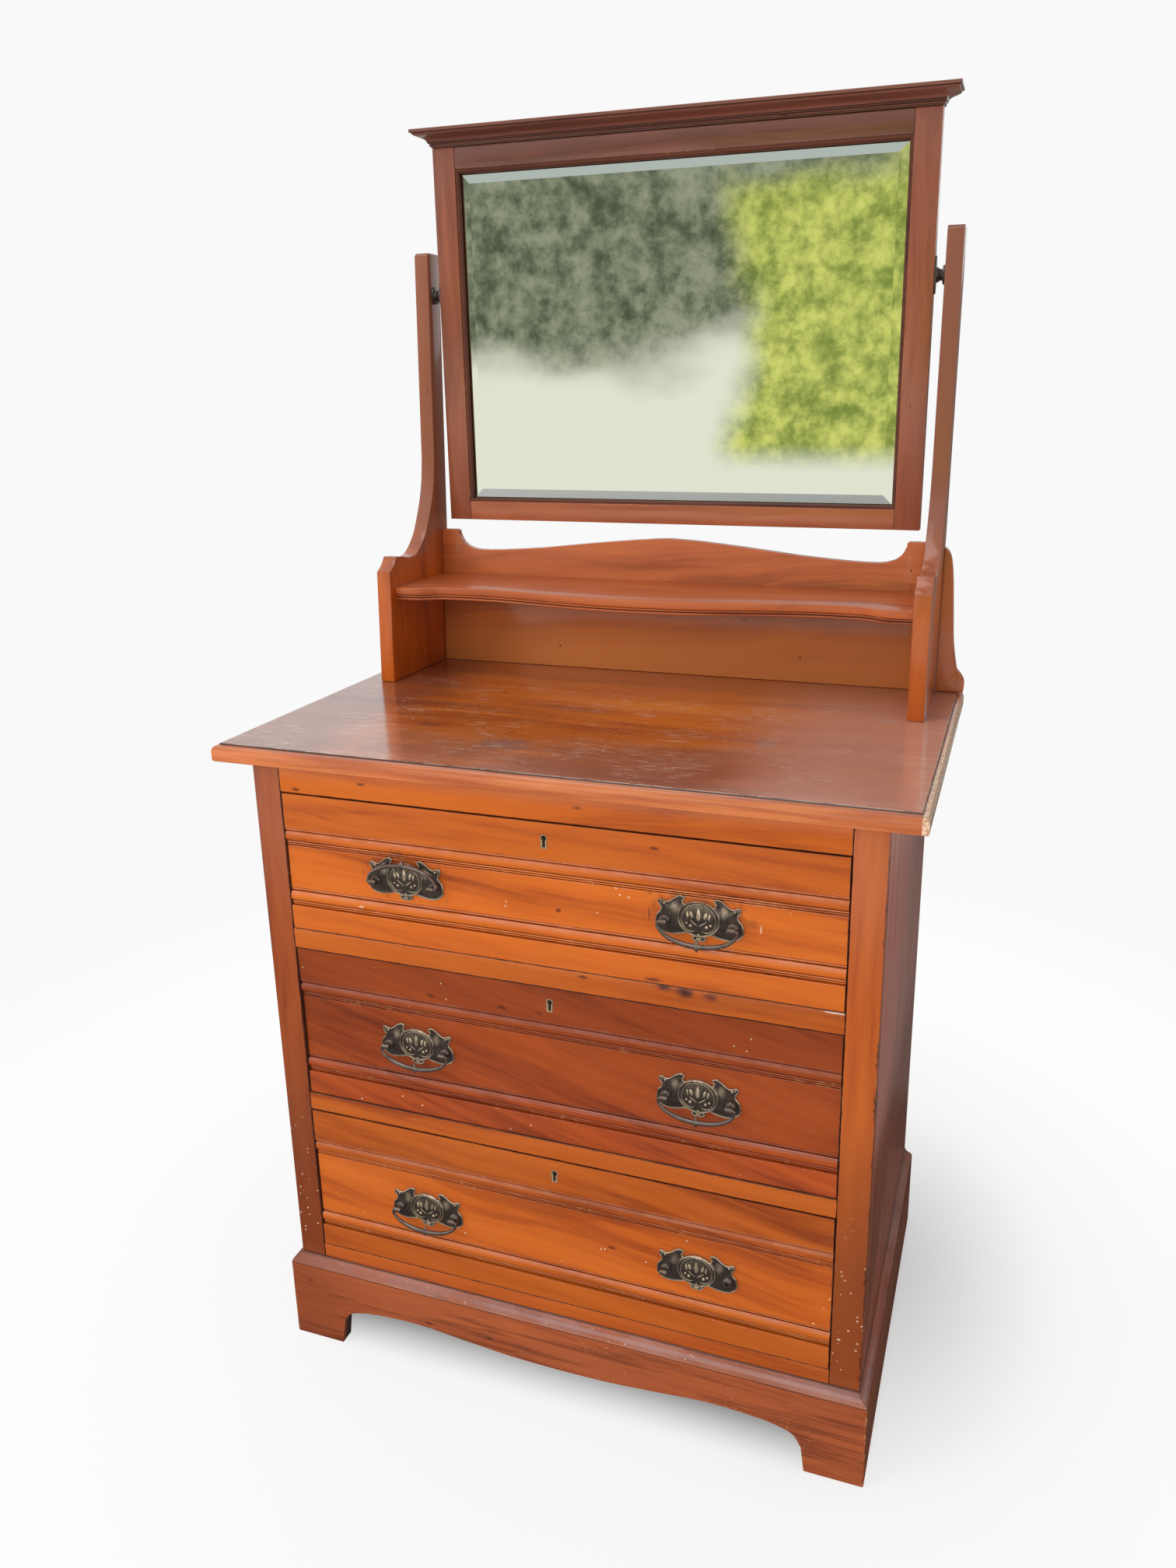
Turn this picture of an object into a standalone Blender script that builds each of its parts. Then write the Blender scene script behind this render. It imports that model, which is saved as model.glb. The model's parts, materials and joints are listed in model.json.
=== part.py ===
# A dressing chest: three long drawers on an arched plinth, a top board with a shelf and
# backboard between two bracketed standards, and a mirror that swings on their posts.
# Metres, +Z up, front towards -Y, origin under the middle of the whole chest on the floor.

import math

import bmesh
import bpy
from mathutils import Matrix, Vector

# Fits

clearance = 0.0003
overrun = 0.010
drawer_side_gap = 0.0013
drawer_top_gap = 0.0016
pin_gap = 0.0003

# Top board

top_width = 0.838
top_thickness = 0.022
top_front_overhang = 0.023
top_back_overhang = 0.004
top_side_overhang = 0.0397
top_edge_round = 0.005
round_segments = 3

# Carcass, from the floor up

carcass_depth = 0.490
stile_width = 0.0359
front_frame_depth = 0.022
side_thickness = 0.018
back_thickness = 0.009
dust_board_thickness = 0.009
drawer_guide_height = 0.012
plinth_height = 0.1269
bottom_rail_height = 0.0212
lower_rail_height = 0.0246
upper_rail_height = 0.0269
top_rail_height = 0.0379

# Plinth

plinth_thickness = 0.020
plinth_projection = 0.0115
plinth_front_projection = 0.012
plinth_mould_height = 0.0121
# Across the projection from its outer face inwards, and up the moulding
plinth_mould_shares = ((0.00, 0.00), (0.10, 0.24), (0.34, 0.38), (0.64, 0.50), (0.86, 0.72), (1.00, 1.00))
foot_width = 0.0718
arch_height = 0.0644
# Across half the arch from its end to its middle, and up to its highest point
arch_shares = (
    (0.986, 0.54), (0.955, 0.78), (0.905, 0.88), (0.818, 0.958), (0.618, 1.00), (0.423, 0.916),
    (0.20, 0.83), (0.00, 0.81),
)

# Drawers

front_thickness = 0.020
middle_drawer_setback = 0.002
upper_band_height = 0.0445
lower_band_height = 0.0305
bead_zone_height = 0.0235
bead_height = 0.0135
bead_depth = 0.0045
quirk_height = 0.0035
panel_recess = 0.003
ledge_depth_share = 0.44
inner_fillet_depth = 0.0034
bead_steps = 8
box_back_gap = 0.0337
box_side_thickness = 0.010
box_top_drop = 0.012
drawer_bottom_thickness = 0.006
drawer_bottom_rise = 0.010
drawer_groove_depth = 0.005

# Locks and keyholes

keyhole_drop = 0.0185
escutcheon_radius = 0.0044
escutcheon_slot_half = 0.0037
escutcheon_leg = 0.0124
escutcheon_wall = 0.0010
escutcheon_depth = 0.006
escutcheon_proud = 0.0005
key_slot_half = 0.0019
arc_steps = 12
lock_width = 0.056
lock_height = 0.040
lock_depth = 0.011
lock_key_depth = 0.006

# Handles

handle_inset = 0.1616
# How much taller each drawer's panel is than its handles, and how far above its middle they sit
upper_panel_spare = 0.0018
middle_panel_spare = 0.0301
lower_panel_spare = 0.0324
upper_handle_rise = 0.0024
middle_handle_rise = 0.00095
lower_handle_drop = 0.0037
handle_half_width = 0.0503
handle_half_height = 0.0270
plate_thickness = 0.0022
# Right half of the stamped plate, from the top of its dome round to the drop below,
# across by the half width and up by the half height
plate_shares = (
    (0.00, 0.825), (0.10, 0.812), (0.19, 0.765), (0.26, 0.71), (0.335, 0.64), (0.368, 0.715), (0.335, 0.80),
    (0.322, 0.90), (0.365, 0.965), (0.435, 1.00), (0.525, 0.905), (0.633, 0.745), (0.725, 0.645),
    (0.80, 0.67), (0.87, 0.722), (0.93, 0.675), (0.935, 0.54), (0.90, 0.42), (0.868, 0.30), (0.90, 0.17),
    (0.955, 0.06), (0.99, -0.14), (1.00, -0.33), (0.985, -0.47), (0.925, -0.61), (0.80, -0.755),
    (0.62, -0.785), (0.44, -0.735), (0.27, -0.655), (0.16, -0.68), (0.12, -0.75), (0.17, -0.81),
    (0.15, -0.90), (0.06, -1.00), (0.00, -0.975),
)
medallion_half_width = 0.0244
medallion_half_height = 0.0212
medallion_rise = 0.0010
medallion_height = 0.0050
# Out from the middle of the medallion, and up to its height
medallion_shares = (
    (0.40, 0.96), (0.70, 0.84), (0.78, 0.70), (0.84, 0.66), (0.90, 0.78), (0.96, 0.70), (1.00, 0.40),
    (1.00, 0.10),
)
medallion_segments = 20
boss_radius = 0.0068
boss_height = 0.0075
boss_steps = 3
knuckle_offset = 0.0385
knuckle_length = 0.0090
knuckle_radius = 0.0034
knuckle_drop = 0.0035
knuckle_stand_off = 0.0117
knuckle_bore_radius = 0.0016
knuckle_neck_radius = 0.0024
knuckle_segments = 12
bail_pin_radius = 0.0013
bail_arm_radius = 0.0017
bail_middle_radius = 0.0025
bail_half_width = 0.0450
bail_drop = 0.0240
# How late the bail swells towards its middle
bail_swell_power = 3
# Right half of the bail, from the end of its pin to its middle, across and down
bail_shares = (
    (0.84, 0.00), (0.965, 0.00), (0.995, 0.04), (1.000, 0.16), (0.975, 0.31), (0.905, 0.48),
    (0.80, 0.635), (0.66, 0.77), (0.48, 0.885), (0.28, 0.965), (0.08, 1.00),
)
bail_spindle_radius = 0.0034
bail_spindle_reach = 0.0074
# The spindle's radius, and its height by its reach, from its lower tip up
bail_spindle_shares = ((0.12, -1.00), (1.00, -0.34), (0.92, 0.14), (0.55, 0.58), (0.12, 1.00))

# Superstructure, which leans back as it rises

lean = 0.0485
standard_thickness = 0.021
standard_inset = 0.0585
post_depth = 0.0365
post_above_pivot = 0.0567
post_top_round = 0.004
bracket_reach = 0.143
bracket_height = 0.1575
# The bracket's upper edge, from its front corner back to the post: along its reach and
# up by its height
bracket_crest_shares = (
    (0.000, 1.000), (0.049, 1.025), (0.093, 1.057), (0.132, 1.101), (0.147, 1.118), (0.223, 1.112),
    (0.280, 1.109), (0.335, 1.094), (0.407, 1.083), (0.479, 1.085), (0.545, 1.094),
)
bracket_sweep_shares = (
    (0.545, 1.094), (0.632, 1.143), (0.720, 1.216), (0.783, 1.290), (0.835, 1.382), (0.882, 1.470),
    (0.930, 1.578), (0.975, 1.730), (1.000, 1.930),
)
backboard_thickness = 0.012
backboard_inset = 0.018
backboard_height = 0.1995
# Right half of the backboard's top edge, from the middle outwards
backboard_shares = (
    (0.000, 0.975), (0.127, 0.962), (0.325, 0.927), (0.530, 0.885), (0.721, 0.859), (0.823, 0.855),
    (0.864, 0.867), (0.891, 0.888), (0.911, 0.925), (0.924, 0.975), (0.930, 1.000), (1.000, 1.000),
)
wing_reach = 0.037
wing_height = 0.194
# The wing's outer edge, from its top down to the top board
wing_shares = (
    (0.00, 1.00), (0.14, 0.979), (0.276, 0.920), (0.381, 0.762), (0.476, 0.495), (0.538, 0.340),
    (0.692, 0.172), (0.784, 0.147), (0.970, 0.095), (1.00, 0.05), (0.985, 0.00),
)
shelf_height = 0.1345
shelf_thickness = 0.010
shelf_depth = 0.162
shelf_sweep = 0.031
# Right half of the shelf's front edge: across by its half width, back by its sweep
shelf_shares = (
    (0.000, 0.000), (0.166, 0.090), (0.333, 0.387), (0.458, 0.677), (0.583, 0.935), (0.707, 1.000),
    (0.804, 0.960), (0.8405, 0.855), (0.875, 0.600), (0.906, 0.420),
)
shelf_moulding_height = 0.0078
shelf_moulding_width = 0.014
shelf_moulding_setback = 0.0035

# Swing mirror

mirror_side_gap = 0.0138
mirror_height = 0.5123
mirror_rise = 0.0154
mirror_thickness = 0.020
mirror_stile_width = 0.0329
mirror_top_rail_height = 0.0288
mirror_bottom_rail_height = 0.0270
mirror_below_pivot = 0.3200
sight_recess = 0.008
glass_thickness = 0.005
glass_lap = 0.004
glass_bevel_width = 0.022
glass_bevel_depth = 0.0022
backing_thickness = 0.005
cornice_height = 0.0217
cornice_side_projection = 0.0225
cornice_front_projection = 0.025
# Out by the projection, and up by the cornice's height
cornice_shares = (
    (0.06, 0.00), (0.07, 0.08), (0.15, 0.10), (0.16, 0.19), (0.22, 0.21), (0.25, 0.34), (0.35, 0.47),
    (0.55, 0.56), (0.74, 0.63), (0.86, 0.71), (0.90, 0.79), (0.99, 0.81), (1.00, 1.00),
)

# Swing fittings

swing_pin_radius = 0.003
swing_pin_depth = 0.010
post_disc_radius = 0.012
post_disc_thickness = 0.003
spool_radius = 0.0085
spool_waist_radius = 0.0065
spool_length = 0.0050
frame_plate_half_height = 0.023
frame_plate_half_width = 0.0085
frame_plate_thickness = 0.0018
# Power that draws the plate's ends out to points
frame_plate_point = 0.3
frame_boss_radius = 0.0095
frame_boss_height = 0.0030
turned_segments = 24
sharp_angle = 35

# Stations worked out from the sizes above

half_carcass = top_width / 2 - top_side_overhang
half_opening = half_carcass - stile_width
half_drawer = half_opening - drawer_side_gap
half_inside = half_carcass - side_thickness
panel_base = lower_band_height + bead_zone_height
drawer_borders = panel_base + bead_zone_height + upper_band_height + drawer_top_gap + clearance
upper_panel_height = 2 * handle_half_height + upper_panel_spare
middle_panel_height = 2 * handle_half_height + middle_panel_spare
lower_panel_height = 2 * handle_half_height + lower_panel_spare
upper_drawer_height = upper_panel_height + drawer_borders
middle_drawer_height = middle_panel_height + drawer_borders
lower_drawer_height = lower_panel_height + drawer_borders
upper_handle_height = panel_base + upper_panel_height / 2 + upper_handle_rise
middle_handle_height = panel_base + middle_panel_height / 2 + middle_handle_rise
lower_handle_height = panel_base + lower_panel_height / 2 - lower_handle_drop
lower_drawer_base = plinth_height + bottom_rail_height
lower_rail_base = lower_drawer_base + lower_drawer_height
middle_drawer_base = lower_rail_base + lower_rail_height
upper_rail_base = middle_drawer_base + middle_drawer_height
upper_drawer_base = upper_rail_base + upper_rail_height
top_rail_base = upper_drawer_base + upper_drawer_height
top_base = top_rail_base + top_rail_height
top_surface = top_base + top_thickness
top_back = carcass_depth + top_back_overhang
box_depth = carcass_depth - back_thickness - box_back_gap - front_thickness - clearance
plinth_half_width = half_carcass + plinth_projection
arch_half_width = plinth_half_width - foot_width
handle_offset = half_drawer - handle_inset
post_back = top_back
post_front = post_back - post_depth
bracket_front = post_front - bracket_reach
standard_inner = top_width / 2 - standard_inset
standard_outer = standard_inner + standard_thickness
mirror_base = backboard_height + mirror_rise
pivot_height = mirror_base + mirror_below_pivot
post_height = pivot_height + post_above_pivot
whole_back = post_back + lean * (post_height - post_top_round)
front_to_middle = (whole_back - top_front_overhang) / 2
pivot_y = (post_front + post_back) / 2 + lean * pivot_height
half_mirror = standard_inner - mirror_side_gap


for old in list(bpy.data.objects):
    bpy.data.objects.remove(old, do_unlink=True)

parts = bpy.data.collections.new("dressing_chest")
cutters = bpy.data.collections.new("cutters")
bpy.context.scene.collection.children.link(parts)
bpy.context.scene.collection.children.link(cutters)


def material(name, colour, roughness, metallic=0.0):
    made = bpy.data.materials.new(name)
    made.use_nodes = True
    shader = made.node_tree.nodes["Principled BSDF"]
    shader.inputs["Base Color"].default_value = (*colour, 1.0)
    shader.inputs["Roughness"].default_value = roughness
    shader.inputs["Metallic"].default_value = metallic
    return made


bright_wood = material("bright_satin_walnut", (0.56, 0.17, 0.045), 0.35)
dark_wood = material("dark_satin_walnut", (0.27, 0.075, 0.032), 0.30)
frame_wood = material("frame_satin_walnut", (0.26, 0.085, 0.040), 0.35)
inner_wood = material("pine", (0.52, 0.33, 0.17), 0.60)
dark_brass = material("antique_brass", (0.16, 0.11, 0.05), 0.35, 1.0)
bright_brass = material("worn_brass", (0.55, 0.42, 0.22), 0.30, 1.0)
iron = material("blackened_iron", (0.05, 0.045, 0.04), 0.40, 1.0)
silvered_glass = material("silvered_glass", (0.85, 0.87, 0.88), 0.02, 1.0)


def empty(name, place, parent=None):
    made = bpy.data.objects.new(name, None)
    made.location = place
    made.parent = parent
    parts.objects.link(made)
    return made


chest = empty("chest_frame", (0, -front_to_middle, 0))


def add(name, mesh, place, finish, parent=None):
    made = bpy.data.objects.new(name, mesh)
    made.location = place
    made.parent = parent or chest
    if finish:
        mesh.materials.clear()
        mesh.materials.append(finish)
        parts.objects.link(made)
    else:
        made.hide_render = True
        made.display_type = "WIRE"
        cutters.objects.link(made)
    return made


def change(piece, other, operation):
    boolean = piece.modifiers.new(operation.lower() + "_" + other.name, "BOOLEAN")
    boolean.operation = operation
    boolean.solver = "EXACT"
    boolean.object = other


def cut(piece, other):
    change(piece, other, "DIFFERENCE")


def join(piece, other):
    change(piece, other, "UNION")


def block(name, low, high, finish=None, parent=None):
    centre = [(a + b) / 2 for a, b in zip(low, high)]
    shape = bmesh.new()
    bmesh.ops.create_cube(shape, size=1)
    bmesh.ops.scale(shape, vec=[b - a for a, b in zip(low, high)], verts=shape.verts)
    mesh = bpy.data.meshes.new(name)
    shape.to_mesh(mesh)
    shape.free()
    return add(name, mesh, centre, finish, parent)


plane_turns = {
    "xy": Matrix.Identity(3),
    "yz": Matrix(((0, 0, 1), (1, 0, 0), (0, 1, 0))),
    "xz": Matrix(((1, 0, 0), (0, 0, -1), (0, 1, 0))),
}


def face_outwards(shape):
    bmesh.ops.recalc_face_normals(shape, faces=shape.faces)
    if shape.calc_volume(signed=True) < 0:
        bmesh.ops.reverse_faces(shape, faces=shape.faces)


def outline(name, loops, thickness, plane, place, finish=None, parent=None):
    # A flat outline, extruded by half its thickness to each side of its plane
    curve = bpy.data.curves.new(name, "CURVE")
    curve.dimensions = "2D"
    curve.fill_mode = "BOTH"
    curve.extrude = thickness / 2
    for points in loops:
        spline = curve.splines.new("POLY")
        spline.points.add(len(points) - 1)
        for spot, (u, v) in zip(spline.points, points):
            spot.co = (u, v, 0, 1)
        spline.use_cyclic_u = True
    return meshed(name, curve, plane_turns[plane], place, finish, parent)


def meshed(name, curve, turn, place, finish, parent):
    # The curve's evaluated mesh with its caps welded, turned into place
    guide = bpy.data.objects.new(name + "_curve", curve)
    cutters.objects.link(guide)
    bpy.context.view_layer.update()
    seen = guide.evaluated_get(bpy.context.evaluated_depsgraph_get())
    mesh = bpy.data.meshes.new_from_object(seen)
    bpy.data.objects.remove(guide, do_unlink=True)
    shape = bmesh.new()
    shape.from_mesh(mesh)
    bmesh.ops.remove_doubles(shape, verts=shape.verts, dist=clearance / 100)
    bmesh.ops.transform(shape, matrix=turn.to_4x4(), verts=shape.verts)
    face_outwards(shape)
    shape.to_mesh(mesh)
    shape.free()
    mesh.name = name
    return add(name, mesh, place, finish, parent)


def sheared(piece):
    # Leans a flat board back about the foot it stands on, which stays level
    piece.data.transform(Matrix(((1, 0, 0, 0), (0, 1, lean, 0), (0, 0, 1, 0), (0, 0, 0, 1))))
    return piece


def stepped(name, rings, finish, place, parent, turn=Matrix.Identity(3)):
    # Rectangles (half width, front, back, height) stacked into one moulded block
    shape = bmesh.new()
    bmesh.ops.create_cube(shape, size=1)
    shape.faces.ensure_lookup_table()
    lowest = min(shape.faces, key=lambda face: face.calc_center_median().z)
    face = max(shape.faces, key=lambda face: face.calc_center_median().z)

    def fit(face, ring):
        half, front, back, height = ring
        middle = sum(v.co.y for v in face.verts) / len(face.verts)
        for v in face.verts:
            v.co = (math.copysign(half, v.co.x), front if v.co.y < middle else back, height)

    fit(face, rings[1])
    fit(lowest, rings[0])
    for ring in rings[2:]:
        face = bmesh.ops.extrude_discrete_faces(shape, faces=[face])["faces"][0]
        fit(face, ring)
    bmesh.ops.transform(shape, matrix=turn.to_4x4(), verts=shape.verts)
    face_outwards(shape)
    mesh = bpy.data.meshes.new(name)
    shape.to_mesh(mesh)
    shape.free()
    return add(name, mesh, place, finish, parent)


def turned(name, profile, segments, axis, place, finish=None, parent=None, squash=1.0):
    # A lathe profile of (radius, distance along the axis), spun round and closed at both ends
    shape = bmesh.new()
    spots = [shape.verts.new((radius, 0, along)) for radius, along in profile]
    line = [shape.edges.new(pair) for pair in zip(spots, spots[1:])]
    bmesh.ops.spin(
        shape, geom=spots + line, cent=(0, 0, 0), axis=(0, 0, 1), angle=math.tau, steps=segments,
        use_merge=True,
    )
    bmesh.ops.holes_fill(shape, edges=shape.edges, sides=segments)
    bmesh.ops.scale(shape, vec=(1, squash, 1), verts=shape.verts)
    face_outwards(shape)
    bmesh.ops.transform(shape, matrix=axis_turn(axis), verts=shape.verts)
    mesh = bpy.data.meshes.new(name)
    shape.to_mesh(mesh)
    shape.free()
    mesh.shade_smooth()
    mesh.set_sharp_from_angle(angle=math.radians(sharp_angle))
    return add(name, mesh, place, finish, parent)


def axis_turn(axis):
    # Carries +Z onto the axis with +X kept level
    if axis == "x":
        return Matrix.Rotation(math.radians(90), 4, "Y")
    if axis == "-x":
        return Matrix.Rotation(math.radians(-90), 4, "Y")
    if axis == "-y":
        return Matrix.Rotation(math.radians(90), 4, "X")
    if axis == "-z":
        return Matrix.Rotation(math.radians(180), 4, "X")
    return Matrix.Identity(4)


def smooth(points, steps=3):
    # A Catmull-Rom curve through the points of an outline
    spots = [Vector(point) for point in points]
    spots = [2 * spots[0] - spots[1]] + spots + [2 * spots[-1] - spots[-2]]
    drawn = []
    for a, b, c, d in zip(spots, spots[1:], spots[2:], spots[3:]):
        for step in range(steps):
            t = step / steps
            drawn.append(tuple(0.5 * (
                2 * b + (c - a) * t + (2 * a - 5 * b + 4 * c - d) * t * t + (3 * b - a - 3 * c + d) * t ** 3
            )))
    drawn.append(tuple(spots[-2]))
    return drawn


def scaled(shares, across, up):
    return [(u * across, v * up) for u, v in shares]


def both_sides(points):
    # A right half that starts or ends on the middle line, with its mirror image
    left = [(-u, v) for u, v in points if u != 0]
    return list(points) + left[::-1]


def make_top_board():
    half = top_width / 2
    board = block(
        "top_board", (-half, -top_front_overhang, top_base), (half, top_back, top_surface), dark_wood,
    )
    bevel = board.modifiers.new("rounded_edges", "BEVEL")
    bevel.width = top_edge_round
    bevel.segments = round_segments


def make_carcass():
    seat = plinth_height + clearance
    under_top = top_base - clearance
    frame_back = front_frame_depth + clearance
    back_face = carcass_depth - back_thickness
    for side, sign in (("left", -1), ("right", 1)):
        stile = sorted((sign * half_opening, sign * half_carcass))
        block(
            "stile_" + side, (stile[0], 0, seat), (stile[1], front_frame_depth, under_top), bright_wood,
        )
        panel = sorted((sign * half_inside, sign * half_carcass))
        block(
            "side_" + side, (panel[0], frame_back, seat), (panel[1], carcass_depth, under_top), bright_wood,
        )
    rails = (
        ("rail_bottom", seat, lower_drawer_base),
        ("rail_lower", lower_rail_base, middle_drawer_base),
        ("rail_upper", upper_rail_base, upper_drawer_base),
        ("rail_top", top_rail_base, under_top),
    )
    reach = half_opening - clearance
    for name, low, high in rails:
        block(name, (-reach, 0, low), (reach, front_frame_depth, high), bright_wood)
    inside = half_inside - clearance
    block(
        "back_panel", (-inside, back_face, seat), (inside, carcass_depth, under_top), inner_wood,
    )
    # Each dust board carries a drawer and has a guide strip up each side
    guide = half_opening
    profile = (
        (-inside, -dust_board_thickness), (inside, -dust_board_thickness), (inside, drawer_guide_height),
        (guide, drawer_guide_height), (guide, 0), (-guide, 0), (-guide, drawer_guide_height),
        (-inside, drawer_guide_height),
    )
    depth = back_face - frame_back - clearance
    middle = frame_back + depth / 2
    for name, height in (
        ("bottom_board", lower_drawer_base), ("dust_board_lower", middle_drawer_base),
        ("dust_board_upper", upper_drawer_base),
    ):
        outline(name, [profile], depth, "xz", (0, middle, height), inner_wood)


def make_plinth():
    mould_base = plinth_height - plinth_mould_height

    def profile(projection):
        # Outer face at minus the projection, the carcass face at zero
        mould = [
            (-projection * (1 - u), mould_base + v * plinth_mould_height) for u, v in plinth_mould_shares
        ]
        inner = plinth_thickness - projection
        return [(inner, 0), (-projection, 0)] + mould + [(inner, plinth_height)]

    front = outline(
        "plinth_front", [profile(plinth_front_projection)], 2 * plinth_half_width, "yz", (0, 0, 0),
        dark_wood,
    )
    for v in front.data.vertices:
        inset = v.co.y + plinth_front_projection + clearance
        v.co.x = math.copysign(plinth_half_width - inset, v.co.x)
    rise = smooth([(u * arch_half_width, v * arch_height) for u, v in arch_shares])
    under = [(arch_half_width, -overrun), (arch_half_width, 0)]
    arch = outline(
        "plinth_arch", [both_sides(under + rise)], 2 * plinth_thickness + 2 * overrun, "xz", (0, 0, 0),
    )
    cut(front, arch)
    length = carcass_depth + plinth_front_projection
    middle = (carcass_depth - plinth_front_projection) / 2
    for side, sign in (("left", -1), ("right", 1)):
        shape = [(-sign * u, v) for u, v in profile(plinth_projection)]
        board = outline(
            "plinth_" + side, [shape], length, "xz", (sign * half_carcass, middle, 0), dark_wood,
        )
        for v in board.data.vertices:
            if v.co.y < 0:
                v.co.y += plinth_projection - sign * v.co.x


def front_profile(height):
    # Side view of a drawer front from its lower edge up the face, then down the back
    def bead_zone(top, above, below):
        # From one flat down to the next, across a ledge, a quirk, the bead and two fillets
        near = top - quirk_height
        far = near - bead_height
        end = top - bead_zone_height
        ledge = above + (bead_depth - above) * ledge_depth_share
        half_quirk = (top + near) / 2
        run = [(above, top), (ledge, top), (ledge, half_quirk), (bead_depth, half_quirk)]
        for step in range(bead_steps + 1):
            angle = math.pi * step / bead_steps
            run.append((
                bead_depth - bead_depth * math.sin(angle),
                (near + far) / 2 + bead_height / 2 * math.cos(angle),
            ))
        step_out = (far + end) / 2
        run += [(bead_depth, (far + step_out) / 2), (inner_fillet_depth, (far + step_out) / 2)]
        run += [(inner_fillet_depth, step_out), (bead_depth, step_out), (bead_depth, end)]
        return run + [(below, end)]

    upper = bead_zone(height - upper_band_height, 0, panel_recess)
    lower = bead_zone(panel_base, panel_recess, 0)
    face = [(0, height)] + upper + lower + [(0, 0)]
    return [(front_thickness, 0)] + face[::-1] + [(front_thickness, height)]


def keyhole(radius, half_slot, leg):
    # A round head over a straight slot
    dip = math.acos(half_slot / radius)
    points = []
    for step in range(arc_steps + 1):
        angle = -dip + (math.pi + 2 * dip) * step / arc_steps
        points.append((radius * math.cos(angle), radius * math.sin(angle)))
    return points + [(-half_slot, -leg), (half_slot, -leg)]


def make_drawer(name, base, opening_height, setback):
    height = opening_height - drawer_top_gap - clearance
    drawer = empty(name + "_frame", (0, setback, base + clearance), chest)
    front = outline(
        name + "_front", [front_profile(height)], 2 * half_drawer, "yz", (0, 0, 0), bright_wood, drawer,
    )

    # Box: two sides and a back in one piece
    box_front = front_thickness + clearance
    box_back = box_front + box_depth
    inner = half_drawer - box_side_thickness
    back_inner = box_back - box_side_thickness
    plan = (
        (-half_drawer, box_front), (-inner, box_front), (-inner, back_inner), (inner, back_inner),
        (inner, box_front), (half_drawer, box_front), (half_drawer, box_back), (-half_drawer, box_back),
    )
    side_height = height - box_top_drop
    box = outline(
        name + "_box", [plan], side_height, "xy", (0, 0, side_height / 2), inner_wood, drawer,
    )

    # Bottom board in grooves of the front and sides, out under the back
    groove_top = drawer_bottom_rise + drawer_bottom_thickness
    reach = inner + drawer_groove_depth
    groove_front = front_thickness - drawer_groove_depth
    groove = block(
        name + "_groove", (-reach - clearance, groove_front - clearance, drawer_bottom_rise - clearance),
        (reach + clearance, box_back + overrun, groove_top + clearance), None, drawer,
    )
    under_back = block(
        name + "_under_back", (-inner, back_inner - overrun, -overrun),
        (inner, box_back + overrun, drawer_bottom_rise), None, drawer,
    )
    cut(front, groove)
    cut(box, groove)
    cut(box, under_back)
    block(
        name + "_bottom", (-reach, groove_front, drawer_bottom_rise), (reach, box_back, groove_top),
        inner_wood, drawer,
    )

    # Lock let into the back of the front, under its top edge
    key_height = height - keyhole_drop
    half_lock = lock_width / 2
    lock_front = front_thickness - lock_depth
    lock_base = height - lock_height
    pocket = block(
        name + "_lock_pocket", (-half_lock - clearance, lock_front - clearance, lock_base - clearance),
        (half_lock + clearance, front_thickness + overrun, height + overrun), None, drawer,
    )
    cut(front, pocket)
    case = block(
        name + "_lock_case", (-half_lock, lock_front, lock_base), (half_lock, front_thickness, height),
        iron, drawer,
    )
    slot_radius = escutcheon_radius - escutcheon_wall
    slot_leg = escutcheon_leg - escutcheon_wall
    key_way = outline(
        name + "_key_way", [keyhole(slot_radius, key_slot_half, slot_leg)], 2 * lock_key_depth, "xz",
        (0, lock_front, key_height), None, drawer,
    )
    cut(case, key_way)

    # Thread escutcheon let into the face round the keyhole
    sizes = (escutcheon_radius, escutcheon_slot_half, escutcheon_leg)
    hole = outline(
        name + "_keyhole", [keyhole(*[size + clearance for size in sizes])],
        2 * front_thickness - 2 * clearance, "xz", (0, 0, key_height), None, drawer,
    )
    cut(front, hole)
    rim = escutcheon_depth + escutcheon_proud
    outline(
        name + "_escutcheon",
        [keyhole(*sizes), keyhole(slot_radius, key_slot_half, slot_leg)],
        rim, "xz", (0, rim / 2 - escutcheon_proud, key_height), bright_brass, drawer,
    )
    return drawer


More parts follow.
